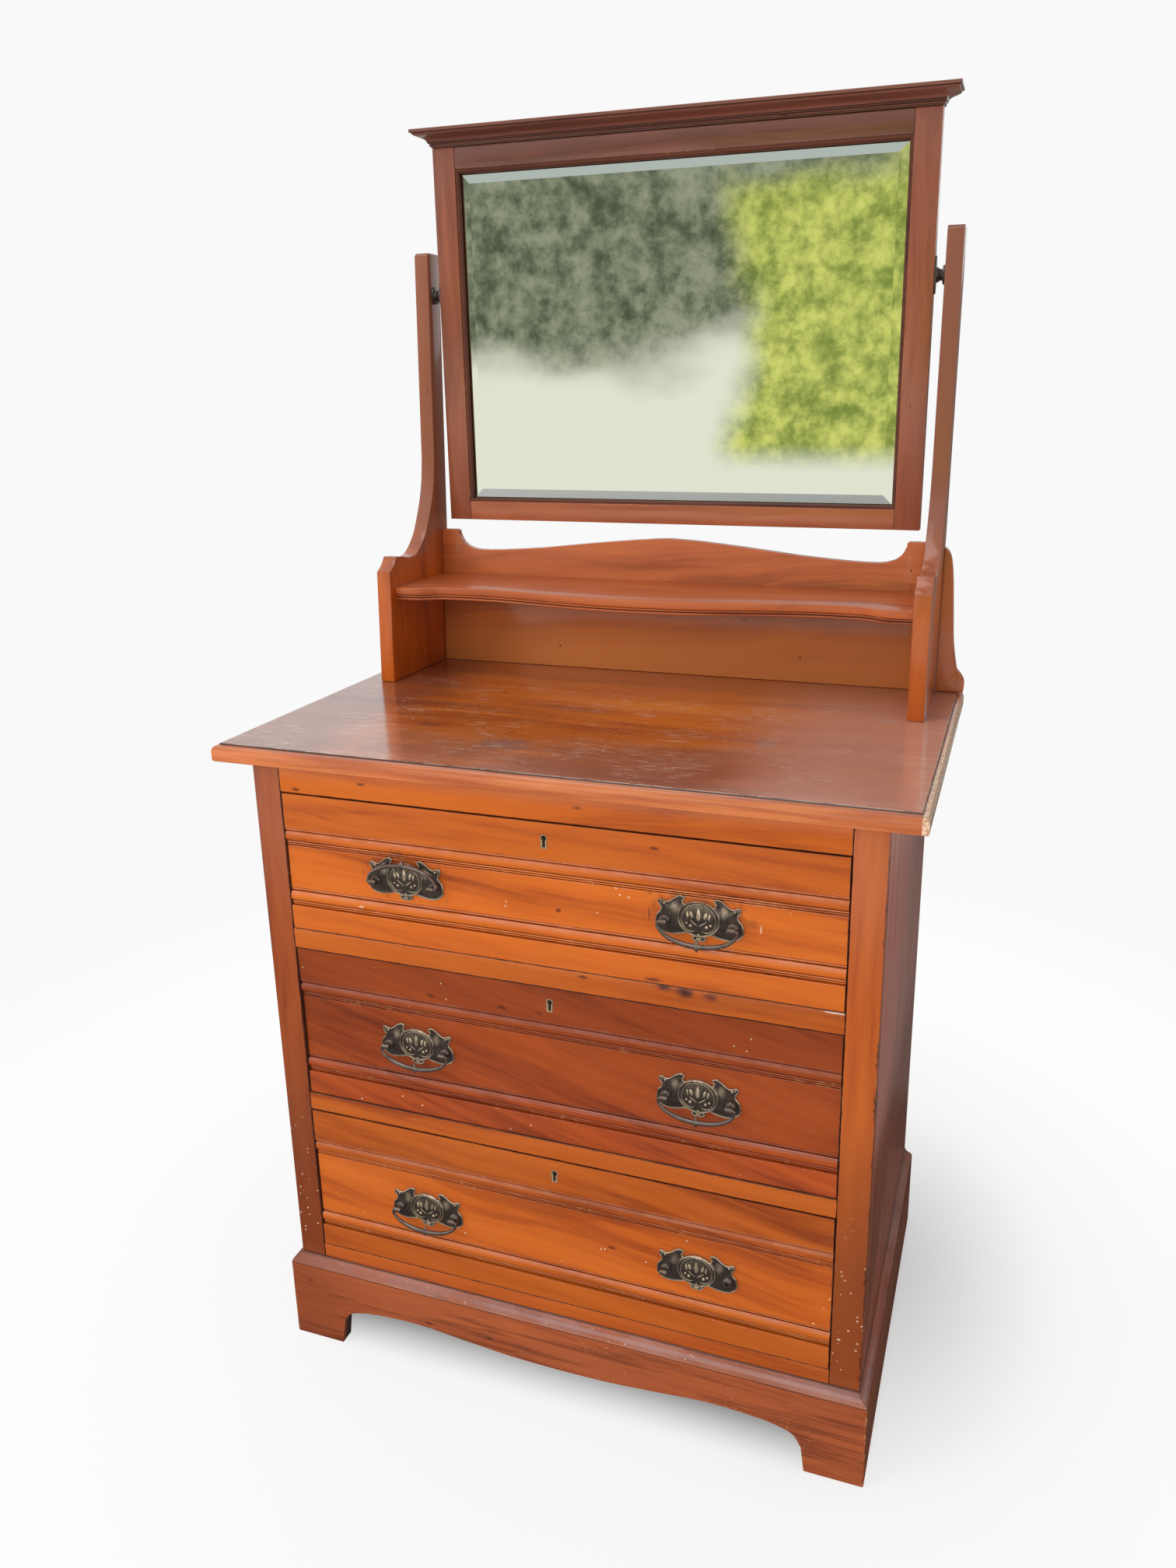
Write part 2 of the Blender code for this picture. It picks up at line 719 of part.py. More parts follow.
def make_handle_plate(name, place, drawer, whole):
    # A plate that isn't whole has lost its right knuckle, which leaves a hole in the boss
    points = both_sides(scaled(plate_shares, handle_half_width, handle_half_height))
    back = panel_recess - clearance
    plate = outline(
        name, [points], plate_thickness, "xz", (place[0], back - plate_thickness / 2, place[1]), dark_brass,
        drawer,
    )
    rise = [(u * medallion_half_width, v * medallion_height) for u, v in medallion_shares[::-1]]
    squash = medallion_half_height / medallion_half_width
    medallion = turned(
        name + "_medallion", rise, medallion_segments, "-y", (place[0], back, place[1] + medallion_rise),
        None, drawer, squash,
    )
    join(plate, medallion)
    axis_y = back - knuckle_stand_off
    dome = []
    for step in range(boss_steps + 1):
        angle = math.pi / 2 * step / boss_steps
        dome.append((
            knuckle_neck_radius + (boss_radius - knuckle_neck_radius) * math.cos(angle),
            boss_height * math.sin(angle),
        ))
    dome[0] = (boss_radius, plate_thickness / 2)
    for side in (-1, 1):
        x = place[0] + side * knuckle_offset
        z = place[1] - knuckle_drop
        lost = side > 0 and not whole
        neck = [] if lost else [(knuckle_neck_radius, knuckle_stand_off)]
        boss = turned(
            name + "_boss", dome + neck, knuckle_segments, "-y", (x, back, z), None, drawer,
        )
        join(plate, boss)
        if lost:
            hole = turned(
                name + "_hole",
                [(knuckle_bore_radius, plate_thickness), (knuckle_bore_radius, boss_height + overrun)],
                knuckle_segments, "-y", (x, back, z), None, drawer,
            )
            cut(plate, hole)
            continue
        half = knuckle_length / 2
        knuckle = turned(
            name + "_knuckle", [(knuckle_radius, -half), (knuckle_radius, half)], knuckle_segments, "x",
            (x, axis_y, z), None, drawer,
        )
        bore = turned(
            name + "_bore", [(knuckle_bore_radius, -knuckle_length), (knuckle_bore_radius, knuckle_length)],
            knuckle_segments, "x", (x, axis_y, z), None, drawer,
        )
        join(plate, knuckle)
        cut(plate, bore)
    return axis_y


def make_bail(name, place, axis_y, drawer, raised):
    # A drop handle, drawn hanging from its axis and turned up where it is raised
    right = scaled(bail_shares, bail_half_width, -bail_drop)
    path = right + [(-u, v) for u, v in right[::-1]]
    curve = bpy.data.curves.new(name, "CURVE")
    curve.dimensions = "3D"
    curve.bevel_depth = 1
    curve.bevel_resolution = 1
    curve.use_fill_caps = True
    spline = curve.splines.new("POLY")
    spline.points.add(len(path) - 1)
    for spot, (u, v) in zip(spline.points, path):
        spot.co = (u, 0, v, 1)
        depth = -v / bail_drop
        thick = bail_arm_radius + (bail_middle_radius - bail_arm_radius) * depth ** bail_swell_power
        spot.radius = bail_pin_radius if depth == 0 else thick
    bail = meshed(
        name, curve, Matrix.Identity(3), (place[0], axis_y, place[1] - knuckle_drop), dark_brass, drawer,
    )
    spindle = turned(
        name + "_spindle", scaled(bail_spindle_shares, bail_spindle_radius, bail_spindle_reach),
        knuckle_segments, "z", (0, 0, -bail_drop), None, bail,
    )
    join(bail, spindle)
    bail.rotation_euler.x = math.radians(-raised)
    return bail


def make_standards():
    # Outline in side view from the foot of the bracket up, before it leans back
    crest = scaled(bracket_crest_shares, bracket_reach, bracket_height)
    sweep = smooth(scaled(bracket_sweep_shares, bracket_reach, bracket_height), 2)
    top = post_height
    back = bracket_reach + post_depth
    edge = [(0, 0)] + smooth(crest, 2)[:-1] + sweep
    edge += [(bracket_reach, top - post_top_round), (bracket_reach + post_top_round, top)]
    edge += [(back - post_top_round, top), (back, top - post_top_round), (back, 0)]
    for side, sign in (("left", -1), ("right", 1)):
        centre = sign * (standard_inner + standard_thickness / 2)
        sheared(outline(
            "standard_" + side, [edge], standard_thickness, "yz",
            (centre, bracket_front, top_surface + clearance), frame_wood,
        ))


def make_backboard():
    reach = standard_inner - clearance
    edge = smooth(scaled(backboard_shares, reach, backboard_height), 2)
    centre = post_back - backboard_inset + backboard_thickness / 2
    sheared(outline(
        "backboard", [both_sides(edge + [(reach, 0)])], backboard_thickness, "xz",
        (0, centre, top_surface + clearance), frame_wood,
    ))
    root = standard_outer + clearance
    wing = smooth(scaled(wing_shares, wing_reach - clearance, wing_height), 2)
    for side, sign in (("left", -1), ("right", 1)):
        shape = [(sign * u, v) for u, v in wing + [(0, 0)]]
        sheared(outline(
            "wing_" + side, [shape], backboard_thickness, "xz",
            (sign * root, centre, top_surface + clearance), frame_wood,
        ))


def shelf_edge(front, reach):
    # Right half of the serpentine front edge, which ends in a square ear
    curve = smooth([(u * reach, front + v * shelf_sweep) for u, v in shelf_shares], 2)
    return curve + [(reach, curve[-1][1])]


def make_shelf():
    reach = standard_inner - clearance
    underside = shelf_height - shelf_thickness
    back = post_back - backboard_inset + lean * underside - clearance
    front = back - shelf_depth
    outline(
        "shelf", [both_sides(shelf_edge(front, reach) + [(reach, back)])], shelf_thickness, "xy",
        (0, 0, top_surface + shelf_height - shelf_thickness / 2), frame_wood,
    )
    run = shelf_edge(front + shelf_moulding_setback, reach)
    rear = [(u, v + shelf_moulding_width) for u, v in run]
    loop = run + rear[::-1] + [(-u, v) for u, v in rear[1:]] + [(-u, v) for u, v in run[:0:-1]]
    outline(
        "shelf_moulding", [loop], shelf_moulding_height, "xy",
        (0, 0, top_surface + underside - clearance - shelf_moulding_height / 2), frame_wood,
    )


def make_mirror():
    mirror = empty("mirror_frame_axis", (0, pivot_y, top_surface + pivot_height), chest)
    low = mirror_base - pivot_height
    high = low + mirror_height
    front = -mirror_thickness / 2
    back = mirror_thickness / 2
    sight_x = half_mirror - mirror_stile_width
    sight_low = low + mirror_bottom_rail_height
    sight_high = high - mirror_top_rail_height
    rebate = block(
        "mirror_rebate",
        (-sight_x - glass_lap - clearance, front + sight_recess, sight_low - glass_lap - clearance),
        (sight_x + glass_lap + clearance, back + overrun, sight_high + glass_lap + clearance), None, mirror,
    )
    for side, sign in (("left", -1), ("right", 1)):
        span = sorted((sign * sight_x, sign * half_mirror))
        stile = block(
            "mirror_stile_" + side, (span[0], front, low), (span[1], back, high), frame_wood, mirror,
        )
        cut(stile, rebate)
        socket = turned(
            "pivot_socket_" + side,
            [(swing_pin_radius + pin_gap, -swing_pin_depth - clearance),
             (swing_pin_radius + pin_gap, overrun)],
            turned_segments, "x" if sign > 0 else "-x", (sign * half_mirror, 0, 0), None, mirror,
        )
        cut(stile, socket)
        make_frame_plate(side, sign, mirror)
    reach = sight_x - clearance
    for name, base, top in (
        ("mirror_bottom_rail", low, sight_low), ("mirror_top_rail", sight_high, high),
    ):
        rail = block(name, (-reach, front, base), (reach, back, top), frame_wood, mirror)
        cut(rail, rebate)

    # Plate, silvered behind and bevelled in front, with its backing board
    half_glass = sight_x + glass_lap
    half_height = (sight_high - sight_low) / 2 + glass_lap
    centre = (sight_low + sight_high) / 2
    inner_half = half_glass - glass_bevel_width
    inner_height = half_height - glass_bevel_width
    flat = glass_thickness - glass_bevel_depth
    glass_back = front + sight_recess + clearance + glass_thickness
    stepped(
        "mirror_glass",
        [(half_glass, -half_height, half_height, 0), (half_glass, -half_height, half_height, flat),
         (inner_half, -inner_height, inner_height, glass_thickness)],
        silvered_glass, (0, glass_back, centre), mirror, plane_turns["xz"],
    )
    board_front = glass_back + clearance
    block(
        "mirror_backing", (-half_glass, board_front, centre - half_height),
        (half_glass, board_front + backing_thickness, centre + half_height), inner_wood, mirror,
    )

    # Cornice, moulded at the front and both ends
    rings = [
        (half_mirror + u * cornice_side_projection, front - u * cornice_front_projection, back,
         v * cornice_height)
        for u, v in cornice_shares
    ]
    stepped("mirror_cornice", rings, frame_wood, (0, 0, high + clearance), mirror)


def make_frame_plate(side, sign, mirror):
    # A pointed oval plate on the frame's edge with a boss round the pivot hole
    shape = []
    for step in range(turned_segments):
        angle = math.tau * step / turned_segments
        shape.append((
            frame_plate_half_width * math.cos(angle),
            frame_plate_half_height * math.sin(angle) * abs(math.sin(angle)) ** frame_plate_point,
        ))
    seat = half_mirror + clearance
    plate = outline(
        "frame_pivot_plate_" + side, [shape], frame_plate_thickness, "yz",
        (sign * (seat + frame_plate_thickness / 2), 0, 0), iron, mirror,
    )
    axis = "x" if sign > 0 else "-x"
    boss = turned(
        "frame_boss_" + side,
        [(frame_plate_half_width - clearance, frame_plate_thickness / 2),
         (frame_boss_radius, frame_plate_thickness + frame_boss_height / 3),
         (spool_radius, frame_plate_thickness + frame_boss_height)],
        turned_segments, axis, (sign * seat, 0, 0), None, mirror,
    )
    bore = turned(
        "frame_bore_" + side,
        [(swing_pin_radius + pin_gap, -overrun), (swing_pin_radius + pin_gap, overrun)],
        turned_segments, axis, (sign * seat, 0, 0), None, mirror,
    )
    join(plate, boss)
    cut(plate, bore)


def make_post_pivots():
    # Disc and spool fixed to each post, with the pin that carries the mirror
    for side, sign in (("left", -1), ("right", 1)):
        seat = standard_inner - clearance
        pin_end = seat - half_mirror + swing_pin_depth
        disc = post_disc_thickness
        spool = disc + spool_length
        profile = [
            (post_disc_radius, 0), (post_disc_radius, disc), (spool_radius, disc),
            (spool_waist_radius, disc + spool_length / 2), (spool_radius, spool),
            (swing_pin_radius, spool), (swing_pin_radius, pin_end),
        ]
        turned(
            "post_pivot_" + side, profile, turned_segments, "-x" if sign > 0 else "x",
            (sign * seat, pivot_y, top_surface + pivot_height), iron,
        )


make_top_board()
make_carcass()
make_plinth()
make_standards()
make_backboard()
make_shelf()
make_mirror()
make_post_pivots()
drawers = (
    ("upper_drawer", upper_drawer_base, upper_drawer_height, 0, upper_handle_height),
    ("middle_drawer", middle_drawer_base, middle_drawer_height, middle_drawer_setback, middle_handle_height),
    ("lower_drawer", lower_drawer_base, lower_drawer_height, 0, lower_handle_height),
)
# The raised bail leans back past upright onto its plate, and one bail is lost
raised_bail = "upper_drawer_bail_left"
raised_angle = 188
lost_bail = "lower_drawer_bail_right"
for name, base, opening_height, setback, handle_height in drawers:
    drawer = make_drawer(name, base, opening_height, setback)
    for side, sign in (("left", -1), ("right", 1)):
        place = (sign * handle_offset, handle_height)
        bail_name = name + "_bail_" + side
        whole = bail_name != lost_bail
        axis_y = make_handle_plate(name + "_plate_" + side, place, drawer, whole)
        if whole:
            make_bail(bail_name, place, axis_y, drawer, raised_angle if bail_name == raised_bail else 0)
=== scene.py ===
# Dressing chest in satin walnut: the finished pieces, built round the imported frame.
# Metres, front towards -Y, floor at z = 0.

import json
import math

import bpy
from mathutils import Matrix, Vector, geometry, kdtree

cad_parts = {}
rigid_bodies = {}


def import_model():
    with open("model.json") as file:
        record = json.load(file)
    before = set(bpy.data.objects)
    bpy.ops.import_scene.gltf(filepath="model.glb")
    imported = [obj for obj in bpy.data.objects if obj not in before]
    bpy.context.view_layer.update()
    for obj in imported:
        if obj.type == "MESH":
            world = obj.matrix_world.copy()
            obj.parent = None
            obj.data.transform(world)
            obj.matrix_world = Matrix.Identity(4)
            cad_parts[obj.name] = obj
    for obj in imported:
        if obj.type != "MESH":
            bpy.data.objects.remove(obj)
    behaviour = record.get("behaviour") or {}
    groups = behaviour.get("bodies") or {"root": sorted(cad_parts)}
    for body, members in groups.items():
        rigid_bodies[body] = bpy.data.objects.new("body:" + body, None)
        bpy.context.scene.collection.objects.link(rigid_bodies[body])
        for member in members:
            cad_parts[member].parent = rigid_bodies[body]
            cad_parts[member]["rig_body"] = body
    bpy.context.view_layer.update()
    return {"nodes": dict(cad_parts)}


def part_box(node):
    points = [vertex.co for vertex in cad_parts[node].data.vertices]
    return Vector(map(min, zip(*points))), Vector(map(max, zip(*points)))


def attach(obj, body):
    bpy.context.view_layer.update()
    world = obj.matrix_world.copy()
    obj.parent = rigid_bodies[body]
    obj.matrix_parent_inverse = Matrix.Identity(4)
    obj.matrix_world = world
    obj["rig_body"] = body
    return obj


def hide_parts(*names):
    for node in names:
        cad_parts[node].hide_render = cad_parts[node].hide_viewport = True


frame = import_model()
nodes = frame["nodes"]
print("frame loaded:", len(nodes), "nodes")

drawerNames = ("upper_drawer", "middle_drawer", "lower_drawer")
sides = (("left", -1), ("right", 1))
mergeWithin = 0.000005
quarterTurn = math.pi / 2


# Working habits

def nothingSelected():
    if bpy.context.object and bpy.context.object.mode != "OBJECT":
        bpy.ops.object.mode_set(mode="OBJECT")
    bpy.ops.object.select_all(action="DESELECT")


def pickOnly(piece):
    nothingSelected()
    piece.select_set(True)
    bpy.context.view_layer.objects.active = piece


def applyModifiers(piece):
    pickOnly(piece)
    for modifier in list(piece.modifiers):
        bpy.ops.object.modifier_apply(modifier=modifier.name)


def settle(piece):
    pickOnly(piece)
    bpy.ops.object.transform_apply(location=True, rotation=True, scale=True)


def editAll(piece):
    pickOnly(piece)
    bpy.ops.object.mode_set(mode="EDIT")
    bpy.ops.mesh.select_all(action="SELECT")


def leaveEdit():
    bpy.ops.object.mode_set(mode="OBJECT")


def mergeInto(name, pieces):
    nothingSelected()
    for piece in pieces:
        piece.select_set(True)
    bpy.context.view_layer.objects.active = pieces[0]
    bpy.ops.object.join()
    joined = bpy.context.object
    joined.name = name
    joined.data.name = name
    return joined


def smoothed(piece, angle):
    pickOnly(piece)
    bpy.ops.object.shade_smooth_by_angle(angle=math.radians(angle))


def finishWith(piece, material):
    piece.data.materials.clear()
    piece.data.materials.append(material)


def fitted(piece, node, body, material, angle):
    # A finished piece in place of its CAD node
    smoothed(piece, angle)
    finishWith(piece, material)
    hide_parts(node)
    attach(piece, body)


def copyAt(piece, name, turn):
    twin = bpy.data.objects.new(name, piece.data.copy())
    twin.data.name = name
    twin.data.transform(turn)
    bpy.context.collection.objects.link(twin)
    return twin


def fromPoints(name, points, edges=(), faces=()):
    mesh = bpy.data.meshes.new(name)
    mesh.from_pydata(points, edges, faces)
    piece = bpy.data.objects.new(name, mesh)
    bpy.context.collection.objects.link(piece)
    return piece


def outwards(piece):
    editAll(piece)
    bpy.ops.mesh.remove_doubles(threshold=mergeWithin)
    bpy.ops.mesh.normals_make_consistent(inside=False)
    leaveEdit()
    return piece


def eased(points, steps, closed=False):
    # A soft curve through the points
    count = len(points)
    if closed:
        points = [points[-1], *points, points[0], points[1]]
    else:
        points = [points[0], *points, points[-1]]
        count -= 1
    spots = [Vector(point) for point in points]
    run = []
    for place in range(count):
        before, start, end, after = spots[place:place + 4]
        for step in range(steps):
            t = step / steps
            run.append(tuple(
                0.5 * (2 * start + (end - before) * t + (2 * before - 5 * start + 4 * end - after) * t * t
                       + (3 * start - before - 3 * end + after) * t * t * t)
            ))
    return run if closed else run + [tuple(spots[-2])]


def along(table, value):
    # Straight lines between the entries of a table
    if value <= table[0][0]:
        return table[0][1]
    for (low, first), (high, second) in zip(table, table[1:]):
        if value <= high:
            return first + (second - first) * (value - low) / (high - low)
    return table[-1][1]


def lathed(name, profile, turn, steps):
    # Spun about Z from (radius, height) pairs, capped where it doesn't end on the axis
    chain = [(radius, 0, height) for radius, height in profile]
    piece = fromPoints(name, chain, [(k, k + 1) for k in range(len(chain) - 1)])
    editAll(piece)
    bpy.ops.mesh.spin(steps=steps, angle=math.tau, center=(0, 0, 0), axis=(0, 0, 1))
    bpy.ops.mesh.select_all(action="SELECT")
    bpy.ops.mesh.remove_doubles(threshold=mergeWithin)
    bpy.ops.mesh.fill_holes(sides=0)
    outwards(piece)
    piece.data.transform(turn)
    return piece


def rod(name, points, thick, roundness, closed=False):
    # A bent rod, with one radius or one for each point
    curve = bpy.data.curves.new(name, "CURVE")
    curve.dimensions = "3D"
    curve.bevel_depth = 1
    curve.bevel_resolution = roundness
    curve.use_fill_caps = not closed
    spline = curve.splines.new("POLY")
    spline.points.add(len(points) - 1)
    spline.use_cyclic_u = closed
    for place, (spot, point) in enumerate(zip(spline.points, points)):
        spot.co = (*point, 1)
        spot.radius = thick if isinstance(thick, float) else thick[place]
    piece = bpy.data.objects.new(name, curve)
    bpy.context.collection.objects.link(piece)
    pickOnly(piece)
    bpy.ops.object.convert(target="MESH")
    return outwards(bpy.context.object)


def sweptAlong(name, path, profile, place, closed=False):
    # A moulding: at each point of a level path, the profile's (outward, height) pairs.
    # place turns (x, y, height) into the real spot
    spots = [Vector(point) for point in path]
    last = len(spots) - 1
    points = []
    for k, spot in enumerate(spots):
        before = [(spot - spots[k - 1]).normalized()] if k or closed else []
        after = [(spots[(k + 1) % len(spots)] - spot).normalized()] if k < last or closed else []
        normals = [Vector((run.y, -run.x)) for run in before + after]
        mitre = sum(normals, Vector((0, 0))).normalized()
        reach = 1 / max(0.4, mitre.dot(normals[0]))
        points += [place(*(spot + mitre * reach * outward), height) for outward, height in profile]
    size = len(profile)
    faces = []
    for k in range(len(spots) if closed else last):
        near, far = k * size, (k + 1) % len(spots) * size
        faces += [(near + j, far + j, far + (j + 1) % size, near + (j + 1) % size) for j in range(size)]
    if not closed:
        faces += [tuple(range(size)), tuple(last * size + j for j in range(size))[::-1]]
    return outwards(fromPoints(name, points, (), faces))


def risen(name, node, rings):
    # A board built up from its underside, in the box of its node: each ring (inwards, height)
    # is pulled in at the front and the sides, with the back edge left where it is
    (left, front, _), (right, rear, _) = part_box(node)
    middle = (left + right) / 2
    nothingSelected()
    bpy.ops.mesh.primitive_plane_add(size=1)
    piece = bpy.context.object
    piece.name = name
    piece.data.name = name
    firstIn, firstHeight = rings[0]
    size = Vector((right - left - 2 * firstIn, rear - front - firstIn))
    piece.data.transform(Matrix.Translation((middle, rear - size.y / 2, firstHeight)) @ Matrix.Diagonal((*size, 1, 1)))
    editAll(piece)
    for (_, below), (inwards, height) in zip(rings, rings[1:]):
        nowSize = Vector((right - left - 2 * inwards, rear - front - inwards))
        bpy.ops.mesh.extrude_region_move(TRANSFORM_OT_translate={"value": (0, 0, height - below)})
        bpy.ops.transform.resize(
            value=(nowSize.x / size.x, nowSize.y / size.y, 1), center_override=(middle, rear, height),
        )
        size = nowSize
    bpy.ops.mesh.select_all(action="SELECT")
    bpy.ops.mesh.normals_make_consistent(inside=False)
    leaveEdit()
    return piece


# Node building. A wire is a node's output, and a sum of wires makes its Math nodes

class nodeWire:
    def __init__(self, socket):
        self.socket = socket
        self.tree = socket.id_data

    def also(self, output):
        return nodeWire(self.socket.node.outputs[output])

    def __add__(self, other):
        return maths("ADD", self, other)

    def __sub__(self, other):
        return maths("SUBTRACT", self, other)

    def __rsub__(self, other):
        return maths("SUBTRACT", other, self)

    def __mul__(self, other):
        return maths("MULTIPLY", self, other)

    def __abs__(self):
        return maths("ABSOLUTE", self)


def connect(node, plugs):
    # Wires and values for a node's inputs, by name or place
    for key, value in plugs.items():
        socket = node.inputs[key]
        if isinstance(value, nodeWire):
            value.tree.links.new(value.socket, socket)
        else:
            socket.default_value = (*value, 1.0) if socket.type == "RGBA" else value


def grow(kind, plugs, output=0, tree=None, **settings):
    # One output of a new node, in the tree of the first wire that it is given
    tree = tree or next(value.tree for value in plugs.values() if isinstance(value, nodeWire))
    node = tree.nodes.new("ShaderNode" + kind)
    for key, value in settings.items():
        setattr(node, key, value)
    connect(node, plugs)
    return nodeWire(node.outputs[output])


def maths(operation, first, second=0.0, clamp=False):
    return grow("Math", {0: first, 1: second}, operation=operation, use_clamp=clamp)


def larger(first, second):
    return maths("MAXIMUM", first, second)


def smaller(first, second):
    return maths("MINIMUM", first, second)


def capped(first, second):
    # A sum kept between 0 and 1
    return maths("ADD", first, second, clamp=True)


def layered(factor, under, over, mode="MIX"):
    return grow("Mix", {0: factor, 6: under, 7: over}, 2, data_type="RGBA", blend_type=mode, clamp_factor=True)


def stepped(value, low, high, toLow=0.0, toHigh=1.0):
    return grow("MapRange", {0: value, 1: low, 2: high, 3: toLow, 4: toHigh}, interpolation_type="SMOOTHSTEP")


def axis(vector, name):
    return grow("SeparateXYZ", {"Vector": vector}, name)


def lengthOf(vector):
    return grow("VectorMath", {0: vector}, "Value", operation="LENGTH")


def scaled(vector, scale):
    # A pattern's place and scale, where the scale may be one for each axis
    if isinstance(scale, tuple):
        return {"Vector": grow("Mapping", {"Vector": vector, "Scale": scale}), "Scale": 1.0}
    return {"Vector": vector, "Scale": scale}


def clouds(vector, scale, detail=3.0, roughness=0.55, distortion=0.0):
    return grow("TexNoise", {
        **scaled(vector, scale), "Detail": detail, "Roughness": roughness, "Distortion": distortion,
    })


def dotted(vector, scale, size, odds, channel):
    # Dots of a size, at the few cells whose colour comes within the odds
    cells = grow("TexVoronoi", {**scaled(vector, scale), "Randomness": 1.0}, "Distance")
    chance = grow("SeparateColor", {"Color": cells.also("Color")}, channel)
    return stepped(cells, *size) * stepped(chance, *odds)


def flatness(tree, radius):
    # 1 on a flat, less towards an arris
    rounded = grow("Bevel", {"Radius": radius}, tree=tree, samples=4)
    flat = grow("NewGeometry", {}, "Normal", tree)
    return grow("VectorMath", {0: rounded, 1: flat}, "Value", operation="DOT_PRODUCT")


def newMaterial(name):
    made = bpy.data.materials.new(name)
    made.use_nodes = True
    return made, made.node_tree, made.node_tree.nodes["Principled BSDF"]


def objectPlace(tree):
    return grow("TexCoord", {}, "Object", tree)


# Satin walnut: long soft streaks along the grain, fine fibres across it, and rubbed arrises.
# Each board has its own tone, tilt of the grain and place in the log.

grainTurns = {"x": (0, 0, 0), "y": (0, 0, quarterTurn), "z": (0, quarterTurn, 0)}

# Light, mid and dark of each tone
walnutTones = {
    "bright": ((0.66, 0.146, 0.010), (0.52, 0.096, 0.007), (0.21, 0.030, 0.005)),
    "amber": ((0.56, 0.122, 0.009), (0.43, 0.078, 0.006), (0.17, 0.026, 0.005)),
    "warm": ((0.55, 0.118, 0.012), (0.41, 0.070, 0.008), (0.15, 0.024, 0.006)),
    "leftStile": ((0.40, 0.082, 0.014), (0.265, 0.048, 0.010), (0.095, 0.017, 0.006)),
    "plinth": ((0.46, 0.108, 0.030), (0.31, 0.064, 0.020), (0.085, 0.016, 0.008)),
    "side": ((0.30, 0.062, 0.016), (0.19, 0.036, 0.011), (0.07, 0.013, 0.006)),
    "red": ((0.41, 0.069, 0.008), (0.25, 0.037, 0.006), (0.080, 0.013, 0.004)),
    "frame": ((0.34, 0.095, 0.040), (0.235, 0.062, 0.028), (0.10, 0.026, 0.013)),
    # The cornice's dark tone, also a painted shade on the mirror's top rail
    "crown": ((0.21, 0.070, 0.043), (0.140, 0.044, 0.028), (0.06, 0.020, 0.013)),
    "shadowed": ((0.13, 0.036, 0.018), (0.085, 0.023, 0.012), (0.04, 0.011, 0.007)),
    "lowRail": ((0.45, 0.125, 0.046), (0.32, 0.080, 0.031), (0.12, 0.029, 0.013)),
    "board": ((0.56, 0.140, 0.036), (0.41, 0.090, 0.024), (0.15, 0.032, 0.011)),
    "top": ((0.78, 0.200, 0.020), (0.50, 0.110, 0.020), (0.15, 0.034, 0.013)),
    "pine": ((0.60, 0.37, 0.17), (0.47, 0.265, 0.105), (0.22, 0.105, 0.04)),
}

# Tones of dirt, marks and wear, and of painted shade, sheen and highlight
wearAndPaintedLight = {
    # All boards
    "knot": (0.05, 0.013, 0.006), "bareArris": (0.74, 0.36, 0.14), "speck": (0.80, 0.60, 0.42),
    "dirt": (0.040, 0.011, 0.006), "quirk": (0.045, 0.012, 0.008), "nick": (0.07, 0.016, 0.009),
    # Posts, stiles and sides
    "post": (0.185, 0.072, 0.046), "stileFoot": (0.17, 0.036, 0.011), "paint": (0.84, 0.62, 0.46),
    # The side panels' grey tone is a painted sheen
    "paintedSideSheen": (0.60, 0.235, 0.180),
    # Backboard and the boards at the back
    # The tone under the shelf is a painted shadow
    "gold": (0.68, 0.230, 0.060), "paintedShelfShadow": (0.150, 0.058, 0.034), "nailHole": (0.03, 0.01, 0.006),
    "joint": (0.030, 0.016, 0.008), "olderBoard": (0.24, 0.125, 0.050),
    # Plinth
    "vein": (0.115, 0.026, 0.011), "fleck": (0.66, 0.38, 0.25), "dust": (0.42, 0.22, 0.19),
    # The moulding's dusty tone is partly a painted sheen, and the arch's dark tone is painted shade
    "plinthEnd": (0.17, 0.030, 0.011), "paintedArchShade": (0.030, 0.014, 0.010),
    # Top board: the edge and the bare wood have two tones each
    # The top's pale grey-pink tone is a painted sheen
    "scuff": (0.78, 0.52, 0.42), "paintedTopSheen": (0.66, 0.36, 0.30), "dull": (0.17, 0.060, 0.042),
    # The edge's pink is a painted sheen, the step's tone a painted shade and the pale arris tone a painted highlight
    "scratch": (0.86, 0.62, 0.50), "edge": ((0.46, 0.108, 0.034), (0.68, 0.200, 0.062)),
    "step": (0.045, 0.018, 0.013), "paleArris": (0.62, 0.40, 0.30), "bare": ((0.95, 0.70, 0.48), (0.58, 0.34, 0.20)),
    # Drawer fronts
    # Dirt with painted shade in the drawer fronts' grooves and under their beads
    "dirtAndPaintedLight": (0.050, 0.010, 0.004),
}


